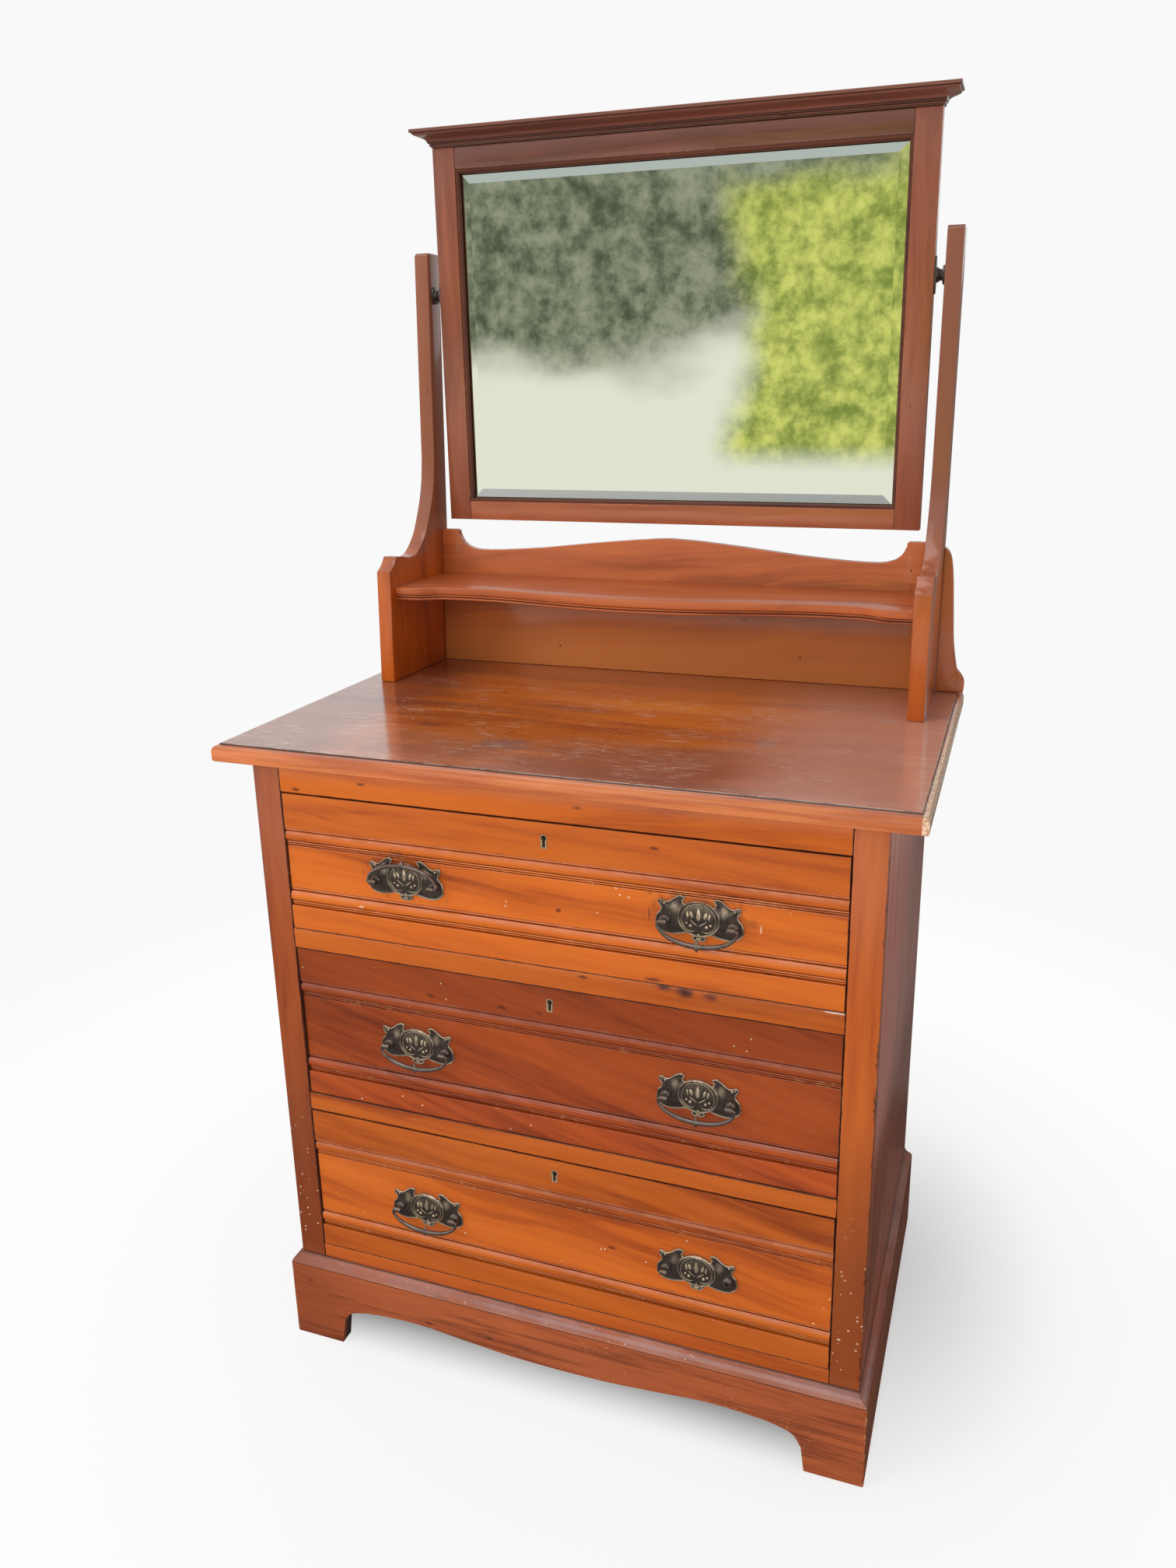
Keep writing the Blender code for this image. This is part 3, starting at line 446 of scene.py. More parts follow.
def walnut(name, tone, grain, log, tilt=0.0, streaks=0.75, length=1.0, gloss=0.34, coat=0.85, worn=0.5, specks=0.0,
           marks=(), extras=()):
    light, mid, dark = walnutTones[tone]
    material, tree, shader = newMaterial(name)
    place = objectPlace(tree)
    rotation = Vector(grainTurns[grain]) + Vector((0, math.radians(tilt), 0))
    board = grow("Mapping", {"Vector": place, "Rotation": rotation, "Location": log})
    drift = grow("TexNoise", {"Vector": board, "Scale": 3.0, "Detail": 2.0}, 1)
    bent = grow("VectorMath", {0: drift, 1: (0.0, 0.05, 0.05), 2: board}, operation="MULTIPLY_ADD")

    # Broad streaks, then fibres, then slow changes of tone
    broad = clouds(bent, (1.1 / length, 13, 17), 4.0, 0.6, 0.5)
    middling = clouds(bent, (4.5 / length, 55, 75), 5.0, 0.62, 0.3)
    fibres = clouds(board, (16 / length, 420, 640), 3.0, 0.6)
    figure = broad * 0.62 + middling * 0.38
    colour = layered(stepped(figure, 0.36, 0.66), mid, light)
    colour = layered(stepped(figure, 0.50, 0.30) * streaks, colour, dark)
    colour = layered(stepped(fibres, 0.42, 0.28) * (0.35 * streaks), colour, dark)
    colour = layered(stepped(clouds(board, 2.6, 2.0), 0.42, 0.68) * 0.35, colour, light)

    # Knots and pinholes
    pin = dotted(board, (22, 60, 60), (0.17, 0.07), (0.90, 0.91), 0)
    colour = layered(pin * 0.7, colour, wearAndPaintedLight["knot"])

    # Rubbed arrises, broken up so that the polish is lost in short lengths
    loss = clouds(place, 95.0, 4.0, 0.7) * 0.65 + clouds(place, 11.0, 2.0) * 0.35
    lost = stepped(flatness(tree, 0.0022), 0.985, 0.86) * stepped(loss, 0.60 - 0.16 * worn, 0.70 - 0.16 * worn)
    lost = lost * min(1.0, 0.35 + worn)
    colour = layered(lost, colour, wearAndPaintedLight["bareArris"])

    # Pale specks and scuffs
    if specks:
        dot = dotted(place, 170.0, (0.26, 0.14), (1.0 - 0.10 * specks, 1.0 - 0.09 * specks), 1)
        dot = dot * stepped(clouds(place, 9.0, 2.0), 0.45, 0.60)
        colour = layered(dot * 0.8, colour, wearAndPaintedLight["speck"])

    polish = (clouds(place, 14.0, 4.0) - 0.5) * 0.30 + gloss
    for mark in marks:
        colour, polish = marked(place, colour, polish, *mark)
    for extra in extras:
        colour, polish = extra(place, board, colour, polish)
    height = fibres * 0.35 + middling * 0.65 - lost * 1.4
    connect(shader, {
        "Base Color": colour, "Roughness": capped(polish, lost * 0.25), "Coat Weight": coat, "Coat Roughness": 0.13,
        "Specular IOR Level": 0.20, "Normal": grow("Bump", {"Strength": 0.25, "Distance": 0.0006, "Height": height}),
    })
    return material


def marked(place, colour, polish, centre, size, tone, strength, grit=60.0, ragged=3.2, core=0.7):
    # A stain or a bare patch: an ellipsoid with a ragged edge
    offset = grow("VectorMath", {0: place, 1: centre}, operation="SUBTRACT")
    reach = lengthOf(grow("VectorMath", {0: offset, 1: size}, operation="DIVIDE"))
    spread = reach + (clouds(place, grit, 5.0, 0.65) - 0.5) * ragged
    inside = stepped(spread, 1.1, core) * strength
    return layered(inside, colour, tone), polish + inside * 0.2


def soiled(node, edges):
    # A ragged dark line where a board meets its neighbours, as seen from the front
    low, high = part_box(node)
    lines = {
        "left": ("X", low[0], 1), "right": ("X", high[0], -1), "bottom": ("Z", low[2], 1), "top": ("Z", high[2], -1),
    }
    reach = 0.0007

    def dirt(place, board, colour, polish):
        inset = 1.0
        for edge in edges.split():
            name, start, way = lines[edge]
            inset = smaller(inset, (axis(place, name) - start) * way)
        inset = inset + (clouds(place, 60.0, 4.0, 0.7) - 0.5) * 0.0028
        line = stepped(inset, reach * 1.5, reach * 0.6) * stepped(clouds(place, 12.0, 2.0), 0.30, 0.55, 0.55, 0.9)
        return layered(line, colour, wearAndPaintedLight["dirt"]), polish + line * 0.3

    return dirt


# Metals. Raised parts of the brass are rubbed bright, and some carry a painted highlight, which a point attribute says

metalTones = {
    "plateBrass": {
        "dark": (0.056, 0.042, 0.041), "bright": (0.92, 0.72, 0.50), "rough": 0.20, "patches": 0.06, "even": 0.0,
        "edges": 0.0, "metallic": 0.72,
    },
    "bailBrass": {
        "dark": (0.050, 0.034, 0.034), "bright": (0.62, 0.46, 0.40), "rough": 0.18, "patches": 0.05, "even": 0.0,
        "edges": 0.0, "metallic": 0.75,
    },
    "paleBrass": {
        "dark": (0.20, 0.13, 0.08), "bright": (0.54, 0.38, 0.24), "rough": 0.36, "patches": 0.25, "even": 0.80,
        "edges": 0.3, "metallic": 0.30,
    },
    "blackIron": {
        "dark": (0.045, 0.034, 0.032), "bright": (0.36, 0.29, 0.25), "rough": 0.34, "patches": 0.25, "even": 0.10,
        "edges": 0.6, "metallic": 0.75,
    },
    "lockIron": {
        "dark": (0.10, 0.075, 0.055), "bright": (0.30, 0.25, 0.20), "rough": 0.45, "patches": 0.40, "even": 0.40,
        "edges": 0.3, "metallic": 0.75,
    },
}


def metal(name):
    tones = metalTones[name]
    material, tree, shader = newMaterial(name)
    place = objectPlace(tree)
    cloudy = clouds(place, 130.0, 4.0, 0.6)
    grit = clouds(place, 900.0, 3.0, 0.65)
    edge = stepped(flatness(tree, 0.0007), 0.99, 0.88, 0.0, tones["edges"])
    patch = stepped(clouds(place, 48.0), 0.46, 0.70) * tones["patches"]
    bright = grow("Attribute", {}, "Fac", tree, attribute_name="rubbedAndPaintedShine")
    bright = bright * stepped(cloudy, 0.25, 0.60, 0.45, 1.0) + tones["even"]
    bright = capped(bright + patch * stepped(grit, 0.35, 0.65, 0.3, 1.0), edge)
    colour = layered(bright, tones["dark"], tones["bright"])
    connect(shader, {
        "Base Color": layered(stepped(grit, 0.58, 0.72, 0.0, 0.35), colour, tones["dark"]),
        "Roughness": capped(tones["rough"], (cloudy - 0.5) * 0.5), "Metallic": tones["metallic"],
        "Coat Weight": 0.6, "Coat Roughness": 0.18,
        "Normal": grow("Bump", {"Strength": 0.35, "Distance": 0.0002, "Height": cloudy * 1.6 + grit * 0.4}),
    })
    return material


metals = {name: metal(name) for name in metalTones}


def rubbedAndPaintedShine(piece, amount):
    # One amount, or one for each point
    layer = piece.data.attributes.new("rubbedAndPaintedShine", "FLOAT", "POINT")
    for place, entry in enumerate(layer.data):
        entry.value = amount if isinstance(amount, float) else amount[place]
    return piece


# Boards and fittings taken from the frame, with their arrises taken off

def worked(name, material, arris=0.0008, segments=2):
    board = copyAt(nodes[name], name + "_finished", Matrix())
    editAll(board)
    bpy.ops.mesh.remove_doubles(threshold=0.00001)
    bpy.ops.mesh.dissolve_limited(angle_limit=math.radians(0.5))
    leaveEdit()
    if arris:
        takenOff = board.modifiers.new("takenOff", "BEVEL")
        takenOff.width = arris
        takenOff.segments = segments
        takenOff.limit_method = "ANGLE"
        takenOff.angle_limit = math.radians(38)
        applyModifiers(board)
    fitted(board, name, nodes[name]["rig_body"], material, 30)


def plank(name, tone, grain, log, arris=0.0008, segments=2, **looks):
    worked(name, walnut(name, tone, grain, log, **looks), arris, segments)


# Camera, where the photograph was taken from

cameraPlace = {
    "location": (0.4913, -1.3888, 1.2617), "turnLeft": 19.34, "lookDown": 16.26, "lean": -0.0132,
    "lens": 27.13, "shift": (-0.0198, -0.0335),
}
bpy.ops.object.camera_add(location=cameraPlace["location"])
camera = bpy.context.object
camera.name = "roomCamera"
camera.rotation_euler = (
    Matrix.Rotation(math.radians(cameraPlace["turnLeft"]), 3, "Z")
    @ Matrix.Rotation(math.radians(90 - cameraPlace["lookDown"]), 3, "X")
    @ Matrix.Rotation(cameraPlace["lean"], 3, "Z")
).to_euler()
camera.data.sensor_fit = "VERTICAL"
camera.data.sensor_height = 36
camera.data.lens = cameraPlace["lens"]
camera.data.shift_x, camera.data.shift_y = cameraPlace["shift"]
bpy.context.scene.camera = camera
bpy.context.scene.view_settings.view_transform = "Standard"

# Floor, world and lamps

studio = {
    "ambient": 0.44, "background": (0.947, 0.947, 0.947), "floorSize": 9.0, "shadeReach": (0.66, 0.76),
    "shade": (0.04, 0.03, 0.025), "ground": (0.09, 0.085, 0.08),
    # Place, aim, size and power of each lamp
    "lamps": {
        "windowLamp": ((-2.45, -2.5, 2.35), (0, 0, 0.6), 1.5, 40.0),
        "frontLamp": ((-0.4, -3.2, 1.1), (0, 0, 0.7), 2.4, 34.0),
        "overLamp": ((-0.4, -0.6, 3.4), (0, 0, 0.6), 1.6, 16.0),
        "backLamp": ((-1.2, 2.2, 2.2), (0, 0, 0.9), 1.6, 5.0),
    },
    "seenInPolish": "overLamp",
}


def stagePlace(piece, name):
    # Gives a stage piece a bare material. Gives the place in its tree
    material, tree, shader = newMaterial(name)
    tree.nodes.remove(shader)
    finishWith(piece, material)
    return objectPlace(tree)


def glowing(tint):
    return grow("Emission", {"Color": tint, "Strength": 1.0})


def paint(surface):
    connect(surface.tree.nodes["Material Output"], {0: surface})


bpy.ops.mesh.primitive_plane_add(size=studio["floorSize"])
floor = bpy.context.object
floor.name = "studio_floor"
place = stagePlace(floor, "paleFloor")
away = lengthOf(place)
pale = layered(stepped(away, 0.9, 1.8), (1.0, 1.0, 1.0), studio["background"])
# Soft shade under the chest and at its right
depth = axis(place, "Y")
under = stepped(depth, -0.275, -0.16) * stepped(depth, 0.27, 0.20) * stepped(abs(axis(place, "X")), 0.40, 0.34)
pale = layered(under, pale, (0.05, 0.05, 0.05))
aside = lengthOf(grow("Mapping", {"Vector": place, "Location": (-0.97, -0.24, 0), "Scale": (2.94, 2.0, 0)}))
pale = layered(stepped(aside, 0.95, 0.0, 0.0, 0.38), pale, (0.0, 0.0, 0.0))
matt = grow("BsdfDiffuse", {"Color": (0.97, 0.97, 0.97)}, tree=place.tree)
seen = grow("MixShader", {0: stepped(away, 0.35, 1.2, 0.80, 1.0), 1: matt, 2: glowing(pale)})
# The polish sees a darker ground close to the chest
ground = layered(stepped(away, *studio["shadeReach"]), studio["shade"], studio["ground"])
ground = layered(stepped(away, 2.0, 4.2), ground, (0.55, 0.55, 0.53))
inPolish = grow("LightPath", {}, "Is Glossy Ray", place.tree)
paint(grow("MixShader", {0: inPolish, 1: seen, 2: glowing(ground)}))

world = bpy.data.worlds.new("paleRoom")
bpy.context.scene.world = world
world.use_nodes = True
path = grow("LightPath", {}, "Is Camera Ray", world.node_tree)
seen = capped(capped(path, path.also("Is Glossy Ray")), path.also("Is Transmission Ray"))
connect(world.node_tree.nodes["Background"], {
    "Color": studio["background"], "Strength": stepped(seen, 0.0, 1.0, studio["ambient"], 1.0),
})

for name, (location, aim, size, power) in studio["lamps"].items():
    bpy.ops.object.light_add(type="AREA", location=location)
    lamp = bpy.context.object
    lamp.name = name
    lamp.data.size = size
    lamp.data.energy = power
    lamp.visible_glossy = name == studio["seenInPolish"]
    lamp.rotation_euler = (Vector(aim) - Vector(location)).to_track_quat("-Z", "Y").to_euler()


# Two soft walls that only the plate, the polish and the brass see: one behind the camera,
# and a low one behind the chest

walls = {
    # Place, and width and height
    "studio_wall": ((-0.8, -4.4, 1.9), (9.0, 3.8)), "studio_screen": ((1.75, 3.2, 0.86), (5.5, 1.7)),
    # Two tones of each mottled part
    "mottle": ((0.09, 0.11, 0.065), (0.36, 0.38, 0.26)), "fresh": ((0.23, 0.30, 0.06), (0.78, 0.80, 0.20)),
    "pale": (0.93, 0.92, 0.78), "upper": (0.52, 0.57, 0.54), "screen": ((0.15, 0.11, 0.09), (0.27, 0.20, 0.165)),
}


def softWall(name):
    location, size = walls[name]
    nothingSelected()
    bpy.ops.mesh.primitive_plane_add(size=1, location=location, rotation=(quarterTurn, 0, 0))
    wall = bpy.context.object
    wall.name = name
    wall.scale = (*size, 1.0)
    settle(wall)
    wall.visible_camera = wall.visible_diffuse = wall.visible_shadow = wall.visible_transmission = False
    return stagePlace(wall, name + "Paint")


place = softWall("studio_wall")
height = axis(place, "Z")
soft = clouds(place, (0.8, 1.0, 1.6), 3.0, 0.5)
rise = height + (soft - 0.5) * 0.9
mottle = stepped(clouds(place, (9.0, 1.0, 9.0), 6.0, 0.66), 0.30, 0.70)
tint = layered(mottle, *walls["mottle"])
tint = layered(stepped(rise, 1.62, 1.26), tint, walls["pale"])
tint = layered(stepped(rise, 2.3, 3.0), tint, walls["upper"])
fresh = stepped(axis(place, "X") + soft * 0.5, -0.90, -0.66) * stepped(height, 0.80, 0.98) * stepped(rise, 2.5, 2.2)
paint(glowing(layered(fresh, tint, layered(mottle, *walls["fresh"]))))
paint(glowing(layered(clouds(softWall("studio_screen"), 1.5), *walls["screen"])))
print("camera, floor and lamps set")


# Carcass. Each of these adds one thing to a board's colour and polish

def darkerAbove(place, board, colour, polish):
    # The posts are browner than the brackets that they grow from
    wander = axis(place, "Z") + clouds(place, 9.0) * 0.06
    return layered(stepped(wander, 1.00, 1.12, 0.0, 0.80), colour, wearAndPaintedLight["post"]), polish


def darkerBelow(place, board, colour, polish):
    # The stiles darken towards the floor, and have splashes of paint near the foot
    height = axis(place, "Z")
    wander = height + clouds(place, 6.0) * 0.16
    colour = layered(stepped(wander, 0.62, 0.34, 0.0, 0.66), colour, wearAndPaintedLight["stileFoot"])
    dot = dotted(place, 190.0, (0.30, 0.16), (0.82, 0.84), 2) * stepped(height, 0.42, 0.20, 0.0, 0.75)
    return layered(dot, colour, wearAndPaintedLight["paint"]), polish


def greyerAbove(place, board, colour, polish):
    # The side panel has a painted grey sheen above its foot, in upright streaks
    streak = clouds(place, (30.0, 30.0, 1.2), 4.0, 0.6)
    share = stepped(axis(place, "Z"), 0.36, 0.50, 0.12, 0.88) * stepped(streak, 0.25, 0.60, 0.5, 1.0)
    return layered(share, colour, wearAndPaintedLight["paintedSideSheen"]), polish


def nicked(node, edge):
    # Dark nicks along one upright arris
    low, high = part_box(node)

    def nicks(place, board, colour, polish):
        x = axis(place, "X")
        inset = high[0] - x if edge == "right" else x - low[0]
        ragged = (clouds(place, 120.0, 4.0, 0.7) - 0.5) * 0.012
        nick = stepped(inset + ragged, 0.0014, 0.0002) * stepped(clouds(place, 20.0, 2.0), 0.50, 0.62)
        return layered(nick * 0.8, colour, wearAndPaintedLight["nick"]), polish

    return nicks


def goldAndShelfShadow(place, board, colour, polish):
    # Under the shelf the backboard goes from brown to gold, with a painted shadow just below the shelf, and it has a
    # few nail holes
    height = axis(place, "Z")
    below = stepped(height, 0.990, 0.980)
    wander = height + clouds(place, 7.0) * 0.04
    colour = layered(below * stepped(wander, 0.985, 0.895, 0.15, 0.85), colour, wearAndPaintedLight["gold"])
    # Painted shadow just under the shelf
    colour = layered(below * stepped(wander, 0.945, 1.000, 0.0, 0.55), colour, wearAndPaintedLight["paintedShelfShadow"])
    for x, z in ((-0.010, 0.949), (-0.168, 0.889), (0.195, 0.893), (0.340, 1.020)):
        hole = ((x, 0.22, z), (0.0016, 0.2, 0.0016), wearAndPaintedLight["nailHole"], 0.9)
        colour, polish = marked(place, colour, polish, *hole, ragged=0.6)
    return colour, polish


def quirked(heights, wander=0.0016, strength=0.8):
    # Dark lines along a moulding's quirks: (height, half width) of each line
    def lines(place, board, colour, polish):
        height = axis(place, "Z") + (clouds(place, 90.0) - 0.5) * wander
        share = 0.0
        for middle, half in heights:
            share = larger(share, stepped(abs(height - middle), half, half * 0.4))
        return layered(share * strength, colour, wearAndPaintedLight["quirk"]), polish

    return lines


def plinthDustAndPaintedLight(place, board, colour, polish):
    # Veins and flecks, a dusty bloom with a painted sheen on the moulding, a darker left end, and painted shade in the
    # arch's reveal
    height, x = axis(place, "Z"), axis(place, "X")
    veins = clouds(board, (6.0, 70.0, 110.0), 5.0, 0.65, 0.4)
    colour = layered(stepped(veins, 0.47, 0.66, 0.0, 0.60), colour, wearAndPaintedLight["vein"])
    flecks = stepped(clouds(place, 330.0, 3.0, 0.7), 0.64, 0.69) * stepped(clouds(place, 11.0), 0.46, 0.60)
    colour = layered(flecks * 0.60, colour, wearAndPaintedLight["fleck"])
    # A dusty bloom with a painted sheen on the moulding's top
    dust = stepped(height, 0.1154, 0.1164) * stepped(clouds(place, 14.0, 4.0), 0.35, 0.62, 0.15, 0.55)
    colour = layered(dust, colour, wearAndPaintedLight["dust"])
    across = x + clouds(place, 8.0) * 0.12
    colour = layered(stepped(across, -0.16, -0.34, 0.0, 0.45), colour, wearAndPaintedLight["plinthEnd"])
    # Painted shade in the arch's reveal
    paintedArchShade = stepped(axis(place, "Y"), -0.2600, -0.2540) * stepped(height, 0.110, 0.102)
    paintedArchShade = paintedArchShade * stepped(abs(x), 0.380, 0.370)
    return layered(paintedArchShade * 0.9, colour, wearAndPaintedLight["paintedArchShade"]), polish


def boarded(heights):
    # Joints between the boards of a back, each board a little darker than the one below
    def joints(place, board, colour, polish):
        height = axis(place, "Z")
        share = 0.0
        for joint in heights:
            across = height - joint
            share = larger(share, stepped(abs(across), 0.0014, 0.0005))
            colour = layered(stepped(across, 0.0, 0.001, 0.0, 0.14), colour, wearAndPaintedLight["olderBoard"])
        return layered(share * 0.9, colour, wearAndPaintedLight["joint"]), polish

    return joints


plinth = {"arris": 0.001, "worn": 0.8, "extras": (plinthDustAndPaintedLight, quirked(((0.1148, 0.0008), (0.1262, 0.0012))))}
for side, sign in sides:
    node = "stile_" + side
    plank(
        node, "warm" if sign > 0 else "leftStile", "z", (0.3 * sign, 1, 0), worn=0.7, specks=0.5,
        extras=(darkerBelow, soiled(node, "right" if side == "left" else "left"), nicked(node, side)),
    )
    plank("side_" + side, "side", "z", (0.7 * sign, 2, 0), worn=0.3, gloss=0.36, coat=0.75, extras=[greyerAbove])
    plank("plinth_" + side, "plinth", "y", (2, 0.2 * sign, 1), **plinth)
    tone = "bright" if sign < 0 else "warm"
    plank("standard_" + side, tone, "z", (0.4 * sign, 0.3, 2), 0.0012, 3, extras=[darkerAbove])
    plank("wing_" + side, "board", "z", (1.3 * sign, 0.7, 0), 0.001)
plank("plinth_front", "plinth", "x", (0, 1, 3), streaks=0.95, specks=2.5, **plinth)

rails = {
    # Tone, and the edges where dirt has gathered
    "rail_top": ("bright", "left right bottom"),
    "rail_upper": ("amber", "left right top bottom"),
    "rail_lower": ("amber", "left right top bottom"),
    "rail_bottom": ("warm", "left right top"),
}
# Marks: centre, size, tone, strength, then how fine and how ragged the edge is, and the solid core
railMarks = (
    ((0.140, -0.2497, 0.6165), (0.012, 0.02, 0.0085), (0.045, 0.010, 0.012), 0.92, 55.0, 1.6, 0.2),
    ((0.164, -0.2497, 0.6130), (0.014, 0.02, 0.0095), (0.055, 0.012, 0.013), 0.92, 55.0, 1.6, 0.2),
    ((0.194, -0.2497, 0.6120), (0.013, 0.02, 0.0060), (0.090, 0.020, 0.018), 0.75, 55.0, 1.6, 0.1),
    ((0.331, -0.2497, 0.6160), (0.013, 0.02, 0.0014), (0.72, 0.52, 0.38), 0.9, 30.0),
)
for lot, (name, (tone, edges)) in enumerate(rails.items(), 1):
    plank(
        name, tone, "x", (lot, 0.3, 0.2), specks=0.15 if name == "rail_top" else 0.0,
        marks=railMarks if name == "rail_upper" else (), extras=[soiled(name, edges)],
    )
plank("backboard", "board", "x", (7, 0.3, 0.2), 0.001, tilt=4, extras=[goldAndShelfShadow])
barePine = {"coat": 0.0, "worn": 0.2}
for name in ("back_panel", "bottom_board", "dust_board_lower", "dust_board_upper"):
    plank(
        name, "pine", "x", (0.4, 9, len(name)), 0.0005, gloss=0.62, **barePine,
        extras=[boarded((0.240, 0.392, 0.561, 0.716))] if name == "back_panel" else (),
    )
print("carcass worked")

# Top board: a worn ovolo on the front and both ends, under a small step round the flat

topBoard = {
    "rings": (
        (0.0025, 0.0), (0.0008, 0.0009), (0.0, 0.0030), (0.0, 0.0130), (0.0005, 0.0155), (0.0016, 0.0176),
        (0.0032, 0.0191), (0.0050, 0.0199), (0.0066, 0.0203), (0.0072, 0.0200), (0.0075, 0.0203), (0.0076, 0.0214),
        (0.0082, 0.0220),
    ),
    "step": 0.0070, "rawFrom": (0.4110, 0.4150),
    # As the marks of the rail
    "marks": (
        ((0.050, 0.050, 0.8575), (0.150, 0.050, 0.02), (0.84, 0.275, 0.030), 0.55, 18.0, 1.6, 0.0),
        ((-0.080, -0.172, 0.8575), (0.030, 0.024, 0.02), (0.30, 0.150, 0.115), 0.75, 75.0),
        ((0.214, -0.083, 0.8575), (0.015, 0.015, 0.02), (0.34, 0.180, 0.145), 0.6, 75.0),
        ((0.341, 0.058, 0.8575), (0.016, 0.013, 0.02), (0.52, 0.34, 0.27), 0.55, 160.0),
        ((-0.205, -0.120, 0.8575), (0.017, 0.006, 0.02), (0.07, 0.025, 0.018), 0.6),
        ((-0.258, -0.060, 0.8575), (0.018, 0.003, 0.02), (0.66, 0.46, 0.36), 0.7),
    ),
}
topLow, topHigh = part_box("top_board")


def topWear(place, board, colour, polish):
    x, y = axis(place, "X"), axis(place, "Y")
    inset = smaller(smaller(x - topLow[0], topHigh[0] - x), y - topLow[1])
    ragged = (clouds(place, 70.0, 4.0, 0.7) - 0.5) * 0.0022
    rough = inset + ragged
    # Scuffs: a haze of small scratches over the front and middle
    haze = clouds(place, (7.0, 20.0, 1.0), 5.0, 0.7, 1.5)
    fine = clouds(place, (110.0, 170.0, 1.0), 4.0, 0.75, 2.0)
    scuffed = stepped(haze, 0.48, 0.62) * stepped(fine, 0.55, 0.61) * stepped(y, 0.06, -0.04, 0.15, 1.0)
    colour = layered(scuffed * 0.45, colour, wearAndPaintedLight["scuff"])
    # A painted grey sheen towards the right end and the front
    cloudy = clouds(place, (3.0, 9.0, 1.0)) * 0.10
    acrossTop, downTop = x + cloudy, y - cloudy
    paintedSheen = larger(stepped(acrossTop, 0.17, 0.34), stepped(downTop, -0.17, -0.25, 0.0, 0.35))
    colour = layered(paintedSheen * 0.66, colour, wearAndPaintedLight["paintedTopSheen"])
    # Duller and browner at the left end, along the front and at the back
    patchy = stepped(clouds(place, (5.0, 14.0, 1.0)), 0.36, 0.60, 0.35, 1.0)
    nearFront = stepped(downTop, -0.13, -0.24, 0.0, 0.60) * patchy * stepped(x, 0.30, 0.16)
    worn = larger(stepped(acrossTop, -0.17, -0.27, 0.0, 0.70), nearFront)
    worn = larger(worn, stepped(downTop, 0.06, 0.22, 0.0, 0.60))
    colour = layered(worn, colour, wearAndPaintedLight["dull"])
    # Short scratches, two ways
    there = stepped(clouds(place, 13.0), 0.47, 0.57) * stepped(y, 0.16, 0.06, 0.4, 1.0)
    for lean in (0.9, -0.45):
        run = grow("Mapping", {"Vector": place, "Rotation": (0, 0, lean), "Scale": (34, 520, 1)})
        scratch = stepped(clouds(run, 1.0, 2.0, 0.5, 0.8), 0.63, 0.66) * there
        colour = layered(scratch * 0.60, colour, wearAndPaintedLight["scratch"])
    # The orange edge with a painted pink sheen, painted shade in the step above it, and a painted highlight along the
    # flat's broken arris
    grain = clouds(place, (5.0, 5.0, 110.0), 4.0, 0.6)
    edge = layered(stepped(grain, 0.35, 0.65), *wearAndPaintedLight["edge"])
    colour = layered(stepped(inset, topBoard["step"] + 0.0006, topBoard["step"] - 0.0002), colour, edge)
    # Painted shade in the step
    dark = stepped(inset, 0.0062, 0.0068) * stepped(rough, 0.0090, 0.0080)
    colour = layered(dark * 0.92, colour, wearAndPaintedLight["step"])
    # Painted highlight along the flat's arris
    pale = stepped(inset, 0.0077, 0.0081) * stepped(rough, 0.0100, 0.0090)
    pale = pale * stepped(clouds(place, 26.0, 5.0, 0.7), 0.40, 0.54)
    colour = layered(pale * 0.85, colour, wearAndPaintedLight["paleArris"])
    # Bare wood along the right end, wider at the front
    bareFrom = stepped(y, topLow[1], topHigh[1], *topBoard["rawFrom"])
    bare = stepped(x + ragged - bareFrom, 0.0, 0.0015)
    speckled = layered(stepped(clouds(place, 260.0), 0.40, 0.62), *wearAndPaintedLight["bare"])
    return layered(bare * 0.85, colour, speckled), polish + bare * 0.35 + scuffed * 0.15


fitted(
    risen("top_board_finished", "top_board", [(inwards, topLow[2] + up) for inwards, up in topBoard["rings"]]),
    "top_board", "chest", walnut(
        "top_board", "top", "x", (5, 0.3, 0.2), coat=1.0, gloss=0.30, length=1.6, specks=0.5, marks=topBoard["marks"],
        extras=[topWear],
    ), 35,
)

# Shelf with its two reeds

shelf = {
    "reach": 0.3603, "sweep": 0.031, "reeds": 0.0078, "width": 0.014, "swell": 0.0016,
    "edge": (
        (0.000, 0.000), (0.083, 0.022), (0.166, 0.090), (0.250, 0.220), (0.333, 0.387), (0.458, 0.677),
        (0.583, 0.935), (0.707, 1.000), (0.804, 0.960), (0.8405, 0.855), (0.875, 0.600), (0.906, 0.420),
    ),
}
plank("shelf", "board", "x", (6, 0.3, 0.2), 0.0012, 3, coat=0.5, gloss=0.44)
low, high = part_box("shelf_moulding")
foot = low[2]
run = eased([(u * shelf["reach"], low[1] + v * shelf["sweep"]) for u, v in shelf["edge"]], 4)
run.append((shelf["reach"], run[-1][1]))
path = [(-x, y) for x, y in run[:0:-1]] + run
reed, swell = shelf["reeds"] / 2, shelf["swell"]
profile = [(-shelf["width"], 0.0)]
for base in (0.0, reed):
    for step in range(9):
        angle = math.pi * step / 8
        profile.append((-swell + swell * math.sin(angle), base + reed / 2 - reed / 2 * math.cos(angle)))
profile.append((-shelf["width"], shelf["reeds"]))
reedLines = ((foot + reed, 0.0011), (foot + 2 * reed, 0.0010), (foot, 0.0006))
fitted(
    sweptAlong("shelf_moulding_finished", path, profile, lambda x, y, height: (x, y, foot + height)),
    "shelf_moulding", "chest",
    walnut("shelf_moulding", "board", "x", (6, 0.6, 0.2), extras=[quirked(reedLines, 0.0004, 0.9)]), 40,
)
print("top, shelf and reeds made")

# Drawers: each front has two beads with their grooves, and is cut for its keyhole, lock and bottom

